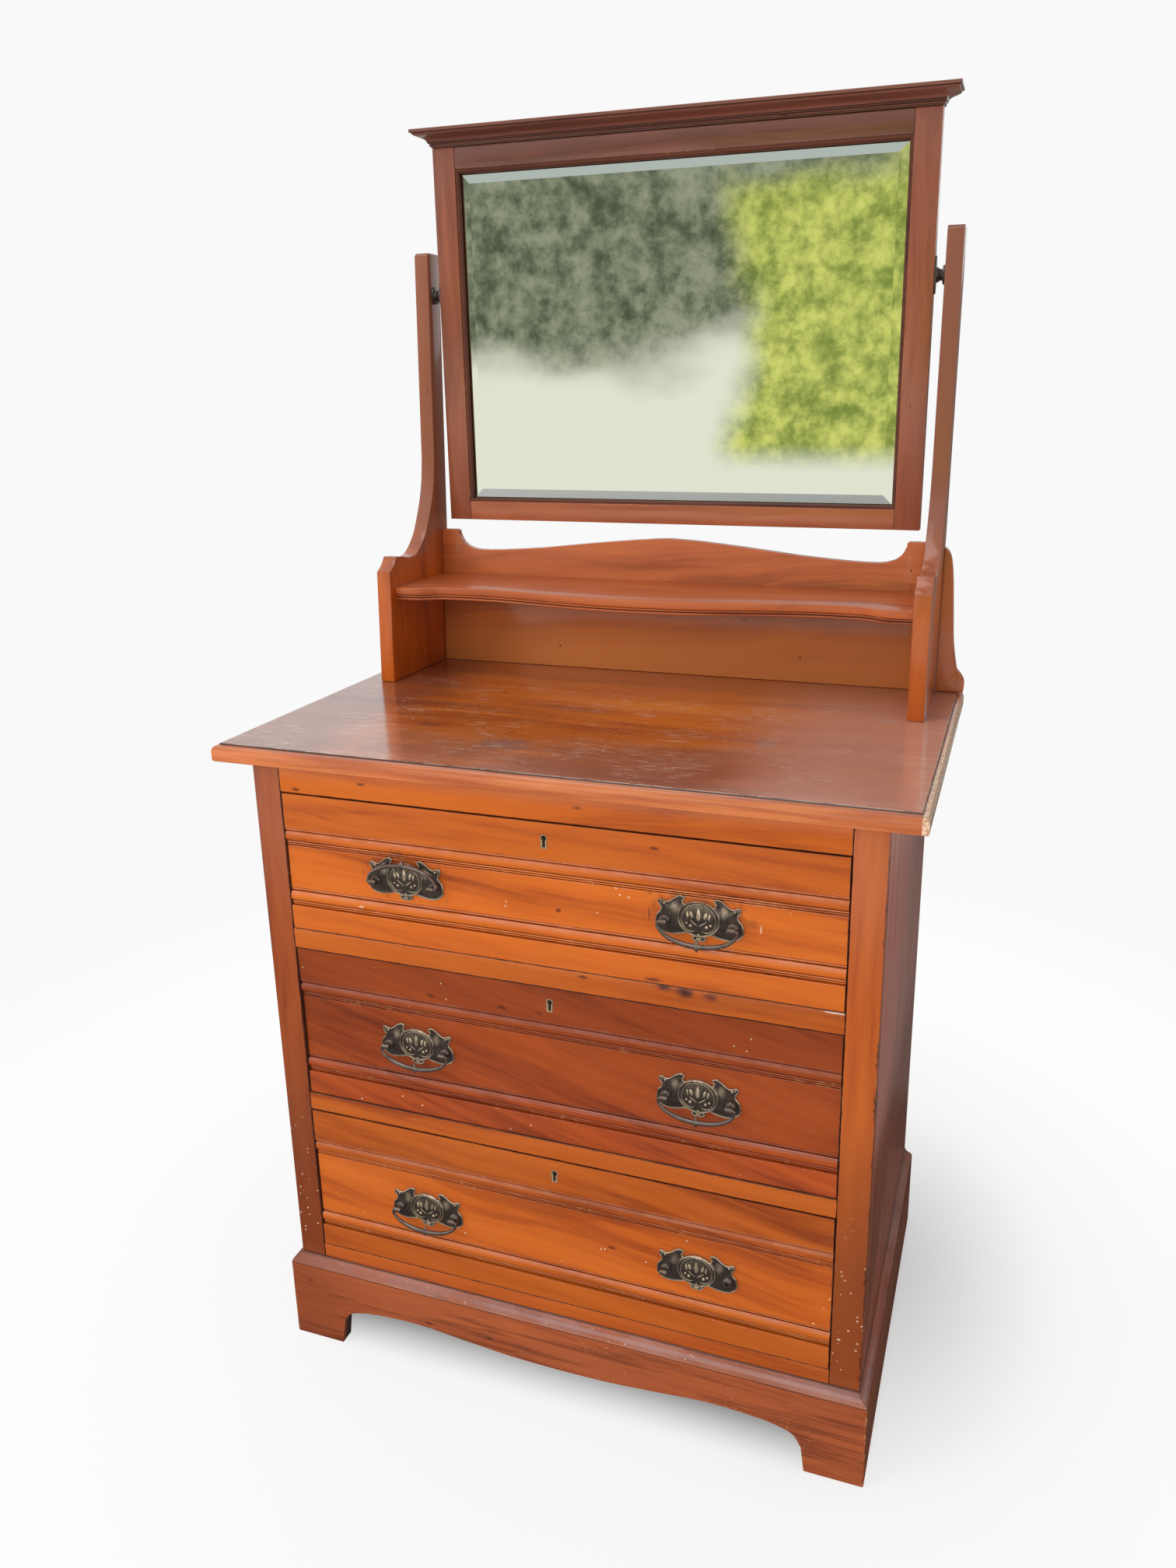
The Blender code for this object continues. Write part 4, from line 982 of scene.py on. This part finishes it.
front = {
    # Metres, but millimetres down the face
    "thick": 0.020, "upperBand": 44.5, "zone": 23.5, "lowerBand": 30.5, "recess": 3.0, "groove": 4.5,
    "key": (0.0185, 0.0047, 0.0040, 0.0127), "lock": (0.0283, 0.0087, 0.0403), "bottom": (0.0147, 0.0097, 0.0163),
    "keyOpening": 0.55, "boxSide": 0.010, "bottomLap": 0.0053, "cutDepth": 0.03,
    # Painted highlight on the round bead's upper side, dirt with painted shade on its lower side, by sixteenths of its
    # turn
    "beadDirtAndPaintedLight": (
        (0.0, 1.0), (1.0, 0.15), (2.0, -0.45), (4.5, -0.30), (7.0, 0.0), (11.0, 0.22), (14.0, 0.50), (16.0, 1.0),
    ),
}
drawerLooks = {
    # bands: how light the upper band, the panel and the lower band are. Then the tone of the painted highlight on the
    # beads and ledges
    "upper_drawer": {
        "tone": "bright", "tilt": -3, "bands": (0.94, 1.06, 1.04), "rubbedAndPaintedShine": (0.74, 0.26, 0.14),
        "marks": (
            ((0.249, -0.2468, 0.700), (0.0012, 0.02, 0.006), (0.80, 0.44, 0.32), 0.7, 60.0, 1.0),
            ((0.123, -0.2468, 0.702), (0.0010, 0.02, 0.0075), (0.07, 0.014, 0.006), 0.8, 60.0, 1.0),
            ((0.1805, -0.2468, 0.7085), (0.057, 0.02, 0.026), (0.10, 0.020, 0.007), 0.35, 90.0, 2.6),
            ((-0.1805, -0.2468, 0.7085), (0.057, 0.02, 0.026), (0.10, 0.020, 0.007), 0.35, 90.0, 2.6),
            ((0.014, -0.2468, 0.690), (0.003, 0.02, 0.0025), (0.10, 0.015, 0.004), 0.8),
            ((0.128, -0.2497, 0.6225), (0.014, 0.02, 0.0035), (0.05, 0.010, 0.012), 0.75, 32.0, 1.8, 0.1),
            ((-0.242, -0.2497, 0.660), (0.004, 0.02, 0.002), (0.80, 0.55, 0.38), 0.6),
        ),
    },
    "middle_drawer": {
        "tone": "red", "tilt": -13, "bands": (0.80, 0.95, 1.20), "rubbedAndPaintedShine": (0.36, 0.115, 0.080), "marks": (),
    },
    "lower_drawer": {
        "tone": "amber", "tilt": -7, "bands": (0.93, 1.15, 0.94), "rubbedAndPaintedShine": (0.60, 0.20, 0.10), "marks": (),
    },
}


def beadRun(above, below):
    # Down a bead zone: millimetres below its upper edge, depth behind the face, and a share of dirt with painted shade,
    # where negative values are painted highlight
    deep = front["groove"]
    ledge = above + 0.28 * (deep - above)
    run = [
        (-0.9, above, 0.0), (-0.2, above, -0.3), (0.0, above + 0.15, 0.2), (0.0, ledge, 1.0), (0.7, ledge, 0.9),
        (1.0, ledge, -0.2), (2.6, ledge + 0.1, -0.4), (2.85, ledge + 0.3, 0.3), (2.9, deep, 1.0), (4.4, deep, 1.0),
    ]
    for step in range(1, 16):
        angle = math.pi * step / 16
        out = deep - 0.1 - (deep - 0.15) * math.sin(angle)
        run.append((10.8 - 6.4 * math.cos(angle), out, along(front["beadDirtAndPaintedLight"], step)))
    return run + [
        (17.25, deep, 1.0), (17.7, deep, 1.0), (17.75, 3.2, 0.2), (17.9, 3.05, -0.4), (19.5, 3.1, -0.2),
        (19.6, 3.3, 0.3), (19.65, deep, 1.0), (20.7, deep, 1.0), (20.75, 3.4, 0.2), (20.9, 3.25, -0.2),
        (22.2, 3.25, 0.0), (22.3, 3.4, 0.3), (22.35, deep, 1.0), (23.4, deep, 1.0), (23.45, min(3.6, below + 3.4), 0.3),
        (23.5, below + 0.15, -0.2), (23.65, below, -0.4), (24.8, below, 0.0),
    ]


def prism(name, loop, near, far):
    # A solid between two depths, from its outline seen from the front
    count = len(loop)
    points = [(x, depth, z) for depth in (near, far) for x, z in loop]
    faces = [tuple(range(count)), tuple(range(2 * count - 1, count - 1, -1))]
    faces += [(k, (k + 1) % count, count + (k + 1) % count, count + k) for k in range(count)]
    return outwards(fromPoints(name, points, (), faces))


def rectangle(half, bottom, top):
    return [(-half, bottom), (half, bottom), (half, top), (-half, top)]


def dirtAndPaintedLightOf(name):
    # Each band's lightness, and the dirt and painted shade in the grooves with the painted highlights on the beads,
    # which a point attribute says
    low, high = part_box(name + "_front")
    zone = front["zone"] / 1000
    upperPanel = high[2] - front["upperBand"] / 1000 - zone
    lowerPanel = low[2] + front["lowerBand"] / 1000 + zone
    looks = drawerLooks[name]
    upperShare, panelShare, lowerShare = looks["bands"]

    def dirtAndPaintedLights(place, board, colour, polish):
        height = axis(place, "Z")
        light = stepped(height, lowerPanel - zone, lowerPanel, lowerShare, panelShare)
        light = stepped(height, upperPanel, upperPanel + zone, light, upperShare)
        colour = layered(1.0, colour, light, "MULTIPLY")
        dirtAndPaintedLight = grow("Attribute", {}, "Fac", place.tree, attribute_name="dirtAndPaintedLight")
        # Dirt with painted shade in the grooves and under the beads
        dark = stepped(dirtAndPaintedLight, 0.0, 1.0) * stepped(clouds(place, 35.0), 0.25, 0.55, 0.6, 1.0)
        colour = layered(dark * 0.93, colour, wearAndPaintedLight["dirtAndPaintedLight"])
        # Painted highlight on the beads' tops and ledges
        pale = stepped(dirtAndPaintedLight, 0.0, -0.6) * stepped(clouds(place, 50.0), 0.35, 0.65, 0.4, 1.0)
        return layered(pale, colour, looks["rubbedAndPaintedShine"]), polish + dark * 0.25

    return dirtAndPaintedLights


def drawerFront(name, lot):
    node = name + "_front"
    low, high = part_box(node)
    face, crest = low[1], high[2]
    tall = (crest - low[2]) * 1000
    run = [(0.0, 0.45, 0.9), (0.12, 0.12, 0.8), (0.45, 0.0, 0.5), (1.1, 0.0, 0.0)]
    run += [(front["upperBand"] + down, depth, dirtAndPaintedLight) for down, depth, dirtAndPaintedLight in beadRun(0.0, front["recess"])]
    lower = tall - front["lowerBand"] - front["zone"]
    run += [(lower + down, depth, dirtAndPaintedLight) for down, depth, dirtAndPaintedLight in beadRun(front["recess"], 0.0)]
    run += [(tall - 1.1, 0.0, 0.0), (tall - 0.45, 0.0, 0.6), (tall - 0.12, 0.12, 0.9), (tall, 0.45, 0.9)]
    profile = [(-depth / 1000, crest - down / 1000) for down, depth, dirtAndPaintedLight in run]
    profile += [(-front["thick"], low[2]), (-front["thick"], crest)]
    piece = sweptAlong(
        node + "_finished", [(low[0], 0), (high[0], 0)], profile, lambda x, y, height: (x, face + y, height),
    )
    drop, radius, half, leg = front["key"]
    key = crest - drop
    opening = front["keyOpening"]
    angles = [-opening + (math.pi + 2 * opening) * step / 16 for step in range(17)]
    keyhole = [(radius * math.cos(angle), key + radius * math.sin(angle)) for angle in angles]
    pocketHalf, pocketFront, pocketTall = front["lock"]
    groove, grooveLow, grooveHigh = front["bottom"]
    reach = high[0] - front["boxSide"] + front["bottomLap"]
    cuts = {
        "keyhole": (keyhole + [(-half, key - leg), (half, key - leg)], -0.01),
        "pocket": (rectangle(pocketHalf, crest - pocketTall, crest + 0.01), pocketFront),
        "groove": (rectangle(reach, low[2] + grooveLow, low[2] + grooveHigh), groove),
    }
    cutters = [prism(cut, loop, face + start, face + front["cutDepth"]) for cut, (loop, start) in cuts.items()]
    for cutter in cutters:
        away = piece.modifiers.new(cutter.name, "BOOLEAN")
        away.operation = "DIFFERENCE"
        away.solver = "EXACT"
        away.object = cutter
    applyModifiers(piece)
    for cutter in cutters:
        bpy.data.objects.remove(cutter)
    # Dirt, painted shade and painted highlight at the points of the profile, found again by their depth and height
    dirtAndPaintedLights = {(round(depth * 20), round(down * 20)): dirtAndPaintedLight for down, depth, dirtAndPaintedLight in run}
    layer = piece.data.attributes.new("dirtAndPaintedLight", "FLOAT", "POINT")
    for place, v in enumerate(piece.data.vertices):
        spot = (round((v.co.y - face) * 20000), round((crest - v.co.z) * 20000))
        layer.data[place].value = dirtAndPaintedLights.get(spot, 0.0)
    looks = drawerLooks[name]
    fitted(piece, node, name, walnut(
        node, looks["tone"], "x", (lot, 2, 5), tilt=looks["tilt"], worn=0.35, specks=0.15, marks=looks["marks"],
        extras=(dirtAndPaintedLightOf(name), soiled(node, "left right")),
    ), 32)


for lot, name in enumerate(drawerNames):
    drawerFront(name, lot)
    plank(name + "_box", "pine", "y", (lot, 6, 1), 0.0006, gloss=0.6, **barePine)
    plank(name + "_bottom", "pine", "x", (lot, 7, 1), 0.0, gloss=0.6, **barePine)
    worked(name + "_lock_case", metals["lockIron"], 0.0004)
    worked(name + "_escutcheon", metals["paleBrass"], 0.0003)
print("drawers worked")

# Handles: a stamped plate with its medallion, two bosses with knuckles, and the bail

handle = {
    "fromMiddle": 0.1805, "halfWidth": 0.0503, "halfHeight": 0.0270, "grid": 0.0009, "medallion": (0.0244, 0.0212),
    "rise": 0.0010, "knuckle": (0.0385, -0.0035), "standOff": 0.0117, "bossRadius": 0.0068, "bossHeight": 0.0075,
    # Right half of the outline, by the half width and the half height
    "edge": (
        (0.00, 0.825), (0.10, 0.812), (0.19, 0.765), (0.26, 0.71), (0.335, 0.640), (0.368, 0.715), (0.335, 0.80),
        (0.322, 0.90), (0.365, 0.965), (0.435, 0.985), (0.525, 0.905), (0.633, 0.745), (0.725, 0.645),
        (0.80, 0.670), (0.870, 0.722), (0.930, 0.675), (0.935, 0.540), (0.900, 0.420), (0.868, 0.300),
        (0.900, 0.170), (0.955, 0.060), (0.990, -0.140), (1.000, -0.330), (0.985, -0.470), (0.925, -0.610),
        (0.800, -0.755), (0.620, -0.785), (0.440, -0.735), (0.270, -0.655), (0.160, -0.680), (0.120, -0.750),
        (0.170, -0.810), (0.150, -0.900), (0.060, -0.985), (0.00, -0.960),
    ),
    # Millimetres: height of the sheet by distance from its edge, and of the medallion by its radius
    "sheet": (
        (0.0, 0.9), (0.35, 1.8), (0.8, 2.1), (1.25, 1.8), (1.7, 1.15), (2.4, 0.95), (5.0, 1.3), (9.0, 1.9),
        (14.0, 2.2),
    ),
    "dish": (
        (0.0, 4.1), (0.40, 3.9), (0.70, 3.3), (0.80, 2.9), (0.85, 2.5), (0.885, 2.5), (0.915, 2.9),
        (0.94, 3.7), (0.96, 3.8), (0.98, 3.3), (1.00, 2.2), (1.03, 0.0),
    ),
    # How rubbed they are, with painted highlights on the ring's outlines, in the same way, and the ears beside the
    # medallion by the distance from their middle
    "sheetShine": ((0.0, 0.5), (0.5, 0.75), (1.0, 0.6), (1.5, 0.08)),
    "ringShine": ((0.80, 0.03), (0.91, 0.04), (0.95, 0.60), (0.97, 0.45), (1.0, 0.05)),
    "earShine": ((0.0, 0.80), (0.6, 0.42), (1.0, 0.10), (1.5, 0.02)),
    "ear": (0.0275, 0.0115, 0.0055, 0.0085),
    # Millimetres on the medallion: the inner line, and leaves (x, z, width, length, turn, how rubbed)
    "line": (
        (0.0, -6.9), (2.6, -11.0), (5.6, -13.2), (9.4, -13.9), (13.4, -12.4), (16.6, -9.2), (18.8, -4.6),
        (19.3, 0.4), (18.4, 5.6), (16.4, 10.2), (13.2, 14.2), (9.2, 17.0), (4.6, 18.7), (0.0, 19.2),
    ),
    "middleLeaf": (0.0, 7.0, 2.75, 7.6, 0, 1.0),
    "leaves": (
        (8.1, 6.8, 1.9, 4.8, 17, 1.0), (12.3, 5.6, 1.5, 4.3, 8, 1.0),
        (3.9, 10.6, 0.8, 5.2, 10, 0.22), (5.9, 13.4, 0.7, 2.8, 20, 0.22), (10.2, 12.2, 0.7, 3.0, 38, 0.22),
    ),
    "scroll": ((1.1, -6.3), (3.0, -4.9), (5.4, -3.2), (7.6, -1.6), (9.2, 0.6)),
    # Berries and studs (x, depth, z, radius, how rubbed), on both sides, and on the middle
    "berries": (
        (9.1, -3.2, -6.9, 1.95, 0.85), (13.5, -3.2, -4.4, 1.55, 0.85), (39.8, -1.2, 14.6, 1.6, 0.75),
        (43.2, -1.2, 15.8, 1.3, 0.55), (6.0, -1.3, -20.6, 1.3, 0.6),
    ),
    "middleBerries": ((0.0, -1.8, -17.4, 1.5, 0.85), (0.0, -1.2, -22.8, 1.5, 0.85, 2.4)),
    "lineDepth": -0.0030, "leafDepth": -0.0036, "scrollDepth": -0.0037,
    # Radius and height of the boss's neck above its dome, and of the broken stub (metres)
    "neck": 0.0024, "domeFoot": 0.0011,
    "wholeNeck": ((0.0024, 0.0075), (0.0020, 0.0090), (0.0022, 0.0110)),
    "brokenNeck": ((0.0017, 0.0075), (0.0016, 0.0050), (0.0, 0.0048)),
    # The knuckle's hole, radius and half length, and the section of the three ridges round it
    "barrel": (0.0016, 0.0026, 0.0045), "ridges": (-0.0030, 0.0, 0.0030),
    "ridge": ((-0.0011, 0.0029), (-0.0006, 0.0033), (0.0, 0.0034), (0.0006, 0.0033), (0.0011, 0.0029)),
}


def metres(points, side=1):
    return [(side * x / 1000, z / 1000) for x, z in points]


def within(spot, loop):
    inside = False
    for (x1, z1), (x2, z2) in zip(loop, loop[1:] + loop[:1]):
        if (z1 > spot[1]) != (z2 > spot[1]) and spot[0] < x1 + (spot[1] - z1) * (x2 - x1) / (z2 - z1):
            inside = not inside
    return inside


def dishAt(x, z):
    return math.hypot(x / handle["medallion"][0], (z - handle["rise"]) / handle["medallion"][1])


def stampedSheet():
    right = [(u * handle["halfWidth"], v * handle["halfHeight"]) for u, v in handle["edge"]]
    loop = eased(right + [(-x, z) for x, z in right[-2:0:-1]], 5, closed=True)
    near = kdtree.KDTree(len(loop) * 4)
    for place, (here, there) in enumerate(zip(loop, loop[1:] + loop[:1])):
        for step in range(4):
            spot = Vector((*here, 0)).lerp(Vector((*there, 0)), step / 4)
            near.insert(spot, place * 4 + step)
    near.balance()

    def fromEdge(x, z):
        return near.find((x, z, 0))[2] * 1000

    # Points in rings along the edge and round the medallion, then a grid between
    inner = []
    for away, _ in handle["sheet"][1:6]:
        for (x1, z1), (x2, z2) in zip(loop, loop[1:] + loop[:1]):
            run = Vector((x2 - x1, z2 - z1)).normalized()
            for turn in (-1, 1):
                spot = Vector((x1, z1)) + turn * Vector((-run.y, run.x)) * away / 1000
                if fromEdge(*spot) > away - 0.06 and within(spot, loop) and dishAt(*spot) > 1.05:
                    inner.append(tuple(spot))
    for share in (0.40, 0.55, *(share for share, _ in handle["dish"][2:])):
        count = 48 if share < 0.8 else 96
        for step in range(count):
            angle = math.tau * step / count
            spot = (
                share * handle["medallion"][0] * math.cos(angle),
                share * handle["medallion"][1] * math.sin(angle) + handle["rise"],
            )
            if fromEdge(*spot) > 0.15 and within(spot, loop):
                inner.append(spot)
    across = round(handle["halfWidth"] / handle["grid"])
    for column in range(-across, across + 1):
        for row in range(-across, across + 1):
            spot = ((column + 0.5 * (row % 2)) * handle["grid"], row * handle["grid"] * 0.87)
            share = dishAt(*spot)
            if (share > 1.07 or share < 0.35) and within(spot, loop) and fromEdge(*spot) > 2.9:
                inner.append(spot)
    points = [Vector(spot) for spot in loop + inner]
    ring = [(k, (k + 1) % len(loop)) for k in range(len(loop))]
    spots, _, faces, *_ = geometry.delaunay_2d_cdt(points, ring, [], 1, 0.000001)

    solid, shine = [], []
    earX, earZ, earWide, earTall = handle["ear"]
    for x, z in spots:
        away, share = fromEdge(x, z), dishAt(x, z)
        height = along(handle["sheet"], away)
        bright = along(handle["sheetShine"], away)
        if share < 1.03:
            height = max(height, along(handle["dish"], share))
            # Painted highlight: the medallion's field is lighter towards its top
            field = 0.07 + 0.12 * max(0.0, min(1.0, (z - 0.001) / 0.008))
            bright = max(bright, along(((0.0, field), (0.76, field), *handle["ringShine"]), share))
        else:
            patch = math.hypot((abs(x) - earX) / earWide, (z - earZ) / earTall)
            bright = max(bright, along(handle["earShine"], patch))
        solid.append((x, -height / 1000, z))
        shine.append(bright)
    sheet = rubbedAndPaintedShine(fromPoints("stampedSheet", solid, (), faces), shine)
    editAll(sheet)
    bpy.ops.mesh.delete_loose()
    bpy.ops.mesh.select_all(action="SELECT")
    bpy.ops.mesh.normals_make_consistent(inside=False)
    bpy.ops.mesh.select_all(action="DESELECT")
    bpy.ops.mesh.select_non_manifold()
    bpy.ops.mesh.extrude_edges_move()
    bpy.ops.transform.resize(value=(1, 0, 1), center_override=(0, 0, 0))
    bpy.ops.mesh.fill()
    leaveEdit()
    return sheet


def leaf(x, z, width, length, turn, amount):
    # A drop shape: round below, drawn out to a point above
    nothingSelected()
    bpy.ops.mesh.primitive_uv_sphere_add(segments=16, ring_count=12, radius=1)
    piece = bpy.context.object
    for v in piece.data.vertices:
        pull = along(((-1.0, 1.0), (-0.2, 1.05), (0.4, 0.80), (1.0, 0.35)), v.co.z)
        v.co = Vector((v.co.x * pull * width, v.co.y * pull * 1.3, v.co.z * length)) / 1000
    seat = Matrix.Translation((x / 1000, handle["leafDepth"], z / 1000))
    piece.data.transform(seat @ Matrix.Rotation(math.radians(turn), 4, "Y"))
    return rubbedAndPaintedShine(piece, amount)


def berry(x, depth, z, radius, amount, stretch=1):
    nothingSelected()
    bpy.ops.mesh.primitive_uv_sphere_add(segments=14, ring_count=8, radius=radius / 1000)
    piece = bpy.context.object
    seat = Matrix.Translation((x / 1000, depth / 1000, z / 1000))
    piece.data.transform(seat @ Matrix.Diagonal((stretch, 1, 1, 1)))
    return rubbedAndPaintedShine(piece, amount)


def bossAndKnuckle(side, lost):
    x, z = side * handle["knuckle"][0], handle["knuckle"][1]
    outward = Matrix.Translation((x, 0, z)) @ Matrix.Rotation(quarterTurn, 4, "X")
    radius, height, neck, foot = (handle[key] for key in ("bossRadius", "bossHeight", "neck", "domeFoot"))
    profile = [(radius, 0.0)]
    for step in range(9):
        angle = quarterTurn * step / 9
        profile.append((neck + (radius - neck) * math.cos(angle), foot + (height - foot) * math.sin(angle)))
    boss = lathed("boss", profile + list(handle["brokenNeck" if lost else "wholeNeck"]), outward, 28)
    if lost:
        # The hole in the stub is dark
        holeFrom, holeRadius = -0.0074, 0.00165
        return [rubbedAndPaintedShine(boss, [
            0.04 if v.co.y > holeFrom and Vector((v.co.x - x, v.co.z - z)).length < holeRadius else 0.07
            for v in boss.data.vertices
        ])]
    hole, thick, half = handle["barrel"]
    barrel = [(hole, -half), (thick, -half)]
    for middle in handle["ridges"]:
        barrel += [(out, middle + across) for across, out in handle["ridge"]]
    barrel += [(thick, half), (hole, half)]
    turn = Matrix.Translation((x, -handle["standOff"], z)) @ Matrix.Rotation(quarterTurn, 4, "Y")
    knuckle = lathed("knuckle", barrel, turn, 20)
    # Painted highlight: the knuckle is lighter along its top
    shine = [0.10 + 0.5 * max(0.0, (v.co.z - z) * 300 - 0.45) for v in knuckle.data.vertices]
    return [rubbedAndPaintedShine(boss, 0.07), rubbedAndPaintedShine(knuckle, shine)]


def handlePlate(name, whole):
    line = metres(handle["line"])
    loop = eased(line[:-1] + [(-x, z) for x, z in line[:0:-1]], 4, closed=True)
    innerLine = rod("innerLine", [(x, handle["lineDepth"], z) for x, z in loop], 0.00045, 2, True)
    pieces = [stampedSheet(), rubbedAndPaintedShine(innerLine, 0.8), leaf(*handle["middleLeaf"])]
    for side in (1, -1):
        for x, z, width, length, turn, amount in handle["leaves"]:
            pieces.append(leaf(side * x, z, width, length, side * turn, amount))
        scroll = eased(metres(handle["scroll"], side), 4)
        thick = [0.0002 + 0.00045 * math.sin(math.pi * (k + 1) / (len(scroll) + 1)) for k in range(len(scroll))]
        pieces.append(rubbedAndPaintedShine(rod("scroll", [(x, handle["scrollDepth"], z) for x, z in scroll], thick, 2), 0.9))
        pieces += [berry(side * x, *rest) for x, *rest in handle["berries"]]
    pieces += [berry(*middle) for middle in handle["middleBerries"]]
    for side in (-1, 1):
        pieces += bossAndKnuckle(side, side > 0 and not whole)
    plate = mergeInto(name, pieces)
    settle(plate)
    return plate


bail = {
    "halfWidth": 0.0450, "drop": 0.0240, "pin": 0.0013, "arm": 0.0017, "middle": 0.0030, "raised": -188,
    "path": (
        (0.84, 0.00), (0.93, 0.00), (0.975, 0.01), (0.995, 0.05), (1.000, 0.16), (0.975, 0.31), (0.905, 0.48),
        (0.80, 0.635), (0.66, 0.77), (0.48, 0.885), (0.28, 0.965), (0.08, 1.00), (0.0, 1.003),
    ),
    # Radius by height of the double-pointed spindle across the middle, millimetres
    "spindle": (
        (0.0, -7.4), (0.5, -6.8), (1.0, -5.6), (1.8, -4.3), (2.9, -3.1), (3.4, -2.2), (3.3, -1.0), (3.1, 0.0),
        (2.9, 1.4), (2.3, 2.8), (1.9, 4.4), (1.6, 6.0), (1.0, 7.0), (0.0, 7.4),
    ),
}


def bentBail(name):
    right = eased([(u * bail["halfWidth"], -v * bail["drop"]) for u, v in bail["path"]], 3)
    run = right + [(-x, z) for x, z in right[-2::-1]]
    thick = []
    for x, z in run:
        depth = min(1.0, -z / bail["drop"])
        swell = (bail["middle"] - bail["arm"]) * max(0.0, (depth - 0.35) / 0.65)
        thick.append(bail["pin"] if abs(x) < 0.0425 and depth < 0.02 else bail["arm"] + swell)
    arc = rubbedAndPaintedShine(rod("bailRod", [(x, 0, z) for x, z in run], thick, 4), 0.30)
    spindle = lathed("spindle", metres(bail["spindle"]), Matrix.Translation((0, 0, -bail["drop"])), 20)
    return mergeInto(name, [arc, rubbedAndPaintedShine(spindle, 0.35)])


patterns = {"whole": handlePlate("platePattern", True), "lost": handlePlate("lostPattern", False)}
bailPattern = bentBail("bailPattern")
for name in drawerNames:
    for side, sign in sides:
        plateName, bailName = name + "_plate_" + side, name + "_bail_" + side
        low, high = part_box(plateName)
        x, back, middle = sign * handle["fromMiddle"], high[1], ((Vector(low) + Vector(high)) / 2).z
        pattern = patterns["whole" if bailName in nodes else "lost"]
        plate = copyAt(pattern, plateName + "_finished", Matrix.Translation((x, back, middle)))
        fitted(plate, plateName, name, metals["plateBrass"], 50)
        if bailName in nodes:
            turn = Matrix.Rotation(math.radians(bail["raised"] if bailName == "upper_drawer_bail_left" else 0), 4, "X")
            pins = Matrix.Translation((x, back - handle["standOff"], middle + handle["knuckle"][1]))
            swung = copyAt(bailPattern, bailName + "_finished", pins @ turn)
            fitted(swung, bailName, bailName, metals["bailBrass"], 50)
for spare in (*patterns.values(), bailPattern):
    bpy.data.objects.remove(spare)
print("handles made")

# Mirror frame

for side, sign in sides:
    plank("mirror_stile_" + side, "frame", "z", (0.9 * sign, 5, 0))
# The top rail has the cornice's dark tone as a painted shade under the cornice; the bottom rail has a lighter tone
for name, tone, log, worn in (("mirror_top_rail", "crown", 0.2, 0.5), ("mirror_bottom_rail", "lowRail", 0.5, 0.3)):
    plank(name, tone, "x", (log, 5, 2), worn=worn, extras=[soiled(name, "left right")])
plank(
    "mirror_backing", "pine", "x", (0.5, 8, 2), 0.0005, gloss=0.62, **barePine, extras=[boarded((1.243, 1.412))],
)

cornice = {
    # In from the ends and the front, in shares of the projection, and up, in shares of the height
    "rings": (
        (0.94, 0.00), (0.93, 0.07), (0.86, 0.09), (0.845, 0.13), (0.86, 0.17), (0.90, 0.19), (0.90, 0.22),
        (0.80, 0.225), (0.785, 0.26), (0.80, 0.30), (0.76, 0.31), (0.745, 0.37), (0.70, 0.44), (0.62, 0.50),
        (0.52, 0.545), (0.42, 0.58), (0.32, 0.615), (0.22, 0.66), (0.15, 0.70), (0.115, 0.76), (0.105, 0.79),
        (0.02, 0.80), (0.0, 0.83), (0.0, 0.97), (0.012, 1.00),
    ),
    "projection": 0.0237,
    # Height, in the same shares, and half width
    "quirks": ((0.035, 0.0016), (0.205, 0.0011), (0.305, 0.0009), (0.795, 0.0008)),
}
low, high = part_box("mirror_cornice")
foot, tall = low[2], high[2] - low[2]
corniceLines = [(foot + up * tall, half) for up, half in cornice["quirks"]]
fitted(
    risen("mirror_cornice_finished", "mirror_cornice", [
        (inwards * cornice["projection"], foot + up * tall) for inwards, up in cornice["rings"]
    ]),
    "mirror_cornice", "mirror",
    walnut("mirror_cornice", "crown", "x", (0.8, 5, 2), worn=0.15, extras=[quirked(corniceLines, 0.0006, 0.85)]), 38,
)

# A small ovolo between the frame and the plate, mitred at the corners. It lies over the plate's edge
sightBeadSize = {"lap": 0.004, "start": 0.0006, "wide": 0.0048, "front": 0.0012, "deep": 0.0064, "back": 0.0078}
low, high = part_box("mirror_glass")
lap = sightBeadSize["lap"]
left, bottom, right, top = low[0] + lap, low[2] + lap, high[0] - lap, high[2] - lap
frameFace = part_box("mirror_stile_left")[0][1]
ovolo = [(0.0, sightBeadSize["back"]), (0.0, sightBeadSize["front"])]
for step in range(7):
    angle = quarterTurn * step / 6
    ovolo.append((
        sightBeadSize["start"] + sightBeadSize["wide"] * math.sin(angle),
        sightBeadSize["front"] + sightBeadSize["deep"] * (1 - math.cos(angle)),
    ))
sightBead = sweptAlong(
    "mirror_sight_bead", [(left, bottom), (left, top), (right, top), (right, bottom)], ovolo,
    lambda x, z, depth: (x, frameFace + depth, z), closed=True,
)
smoothed(sightBead, 40)
finishWith(sightBead, walnut("mirror_sight_bead", "shadowed", "x", (1.8, 5, 2), coat=0.2, gloss=0.5, worn=0.1))
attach(sightBead, "mirror")

silver, tree, shader = newMaterial("silveredPlate")
connect(shader, {"Base Color": (0.80, 0.83, 0.80), "Metallic": 1.0, "Roughness": 0.01})
finishWith(nodes["mirror_glass"], silver)

# Swing fittings
for side, sign in sides:
    worked("frame_pivot_plate_" + side, metals["blackIron"], 0.0004)
    worked("post_pivot_" + side, metals["blackIron"], 0.0004)
print("mirror finished")
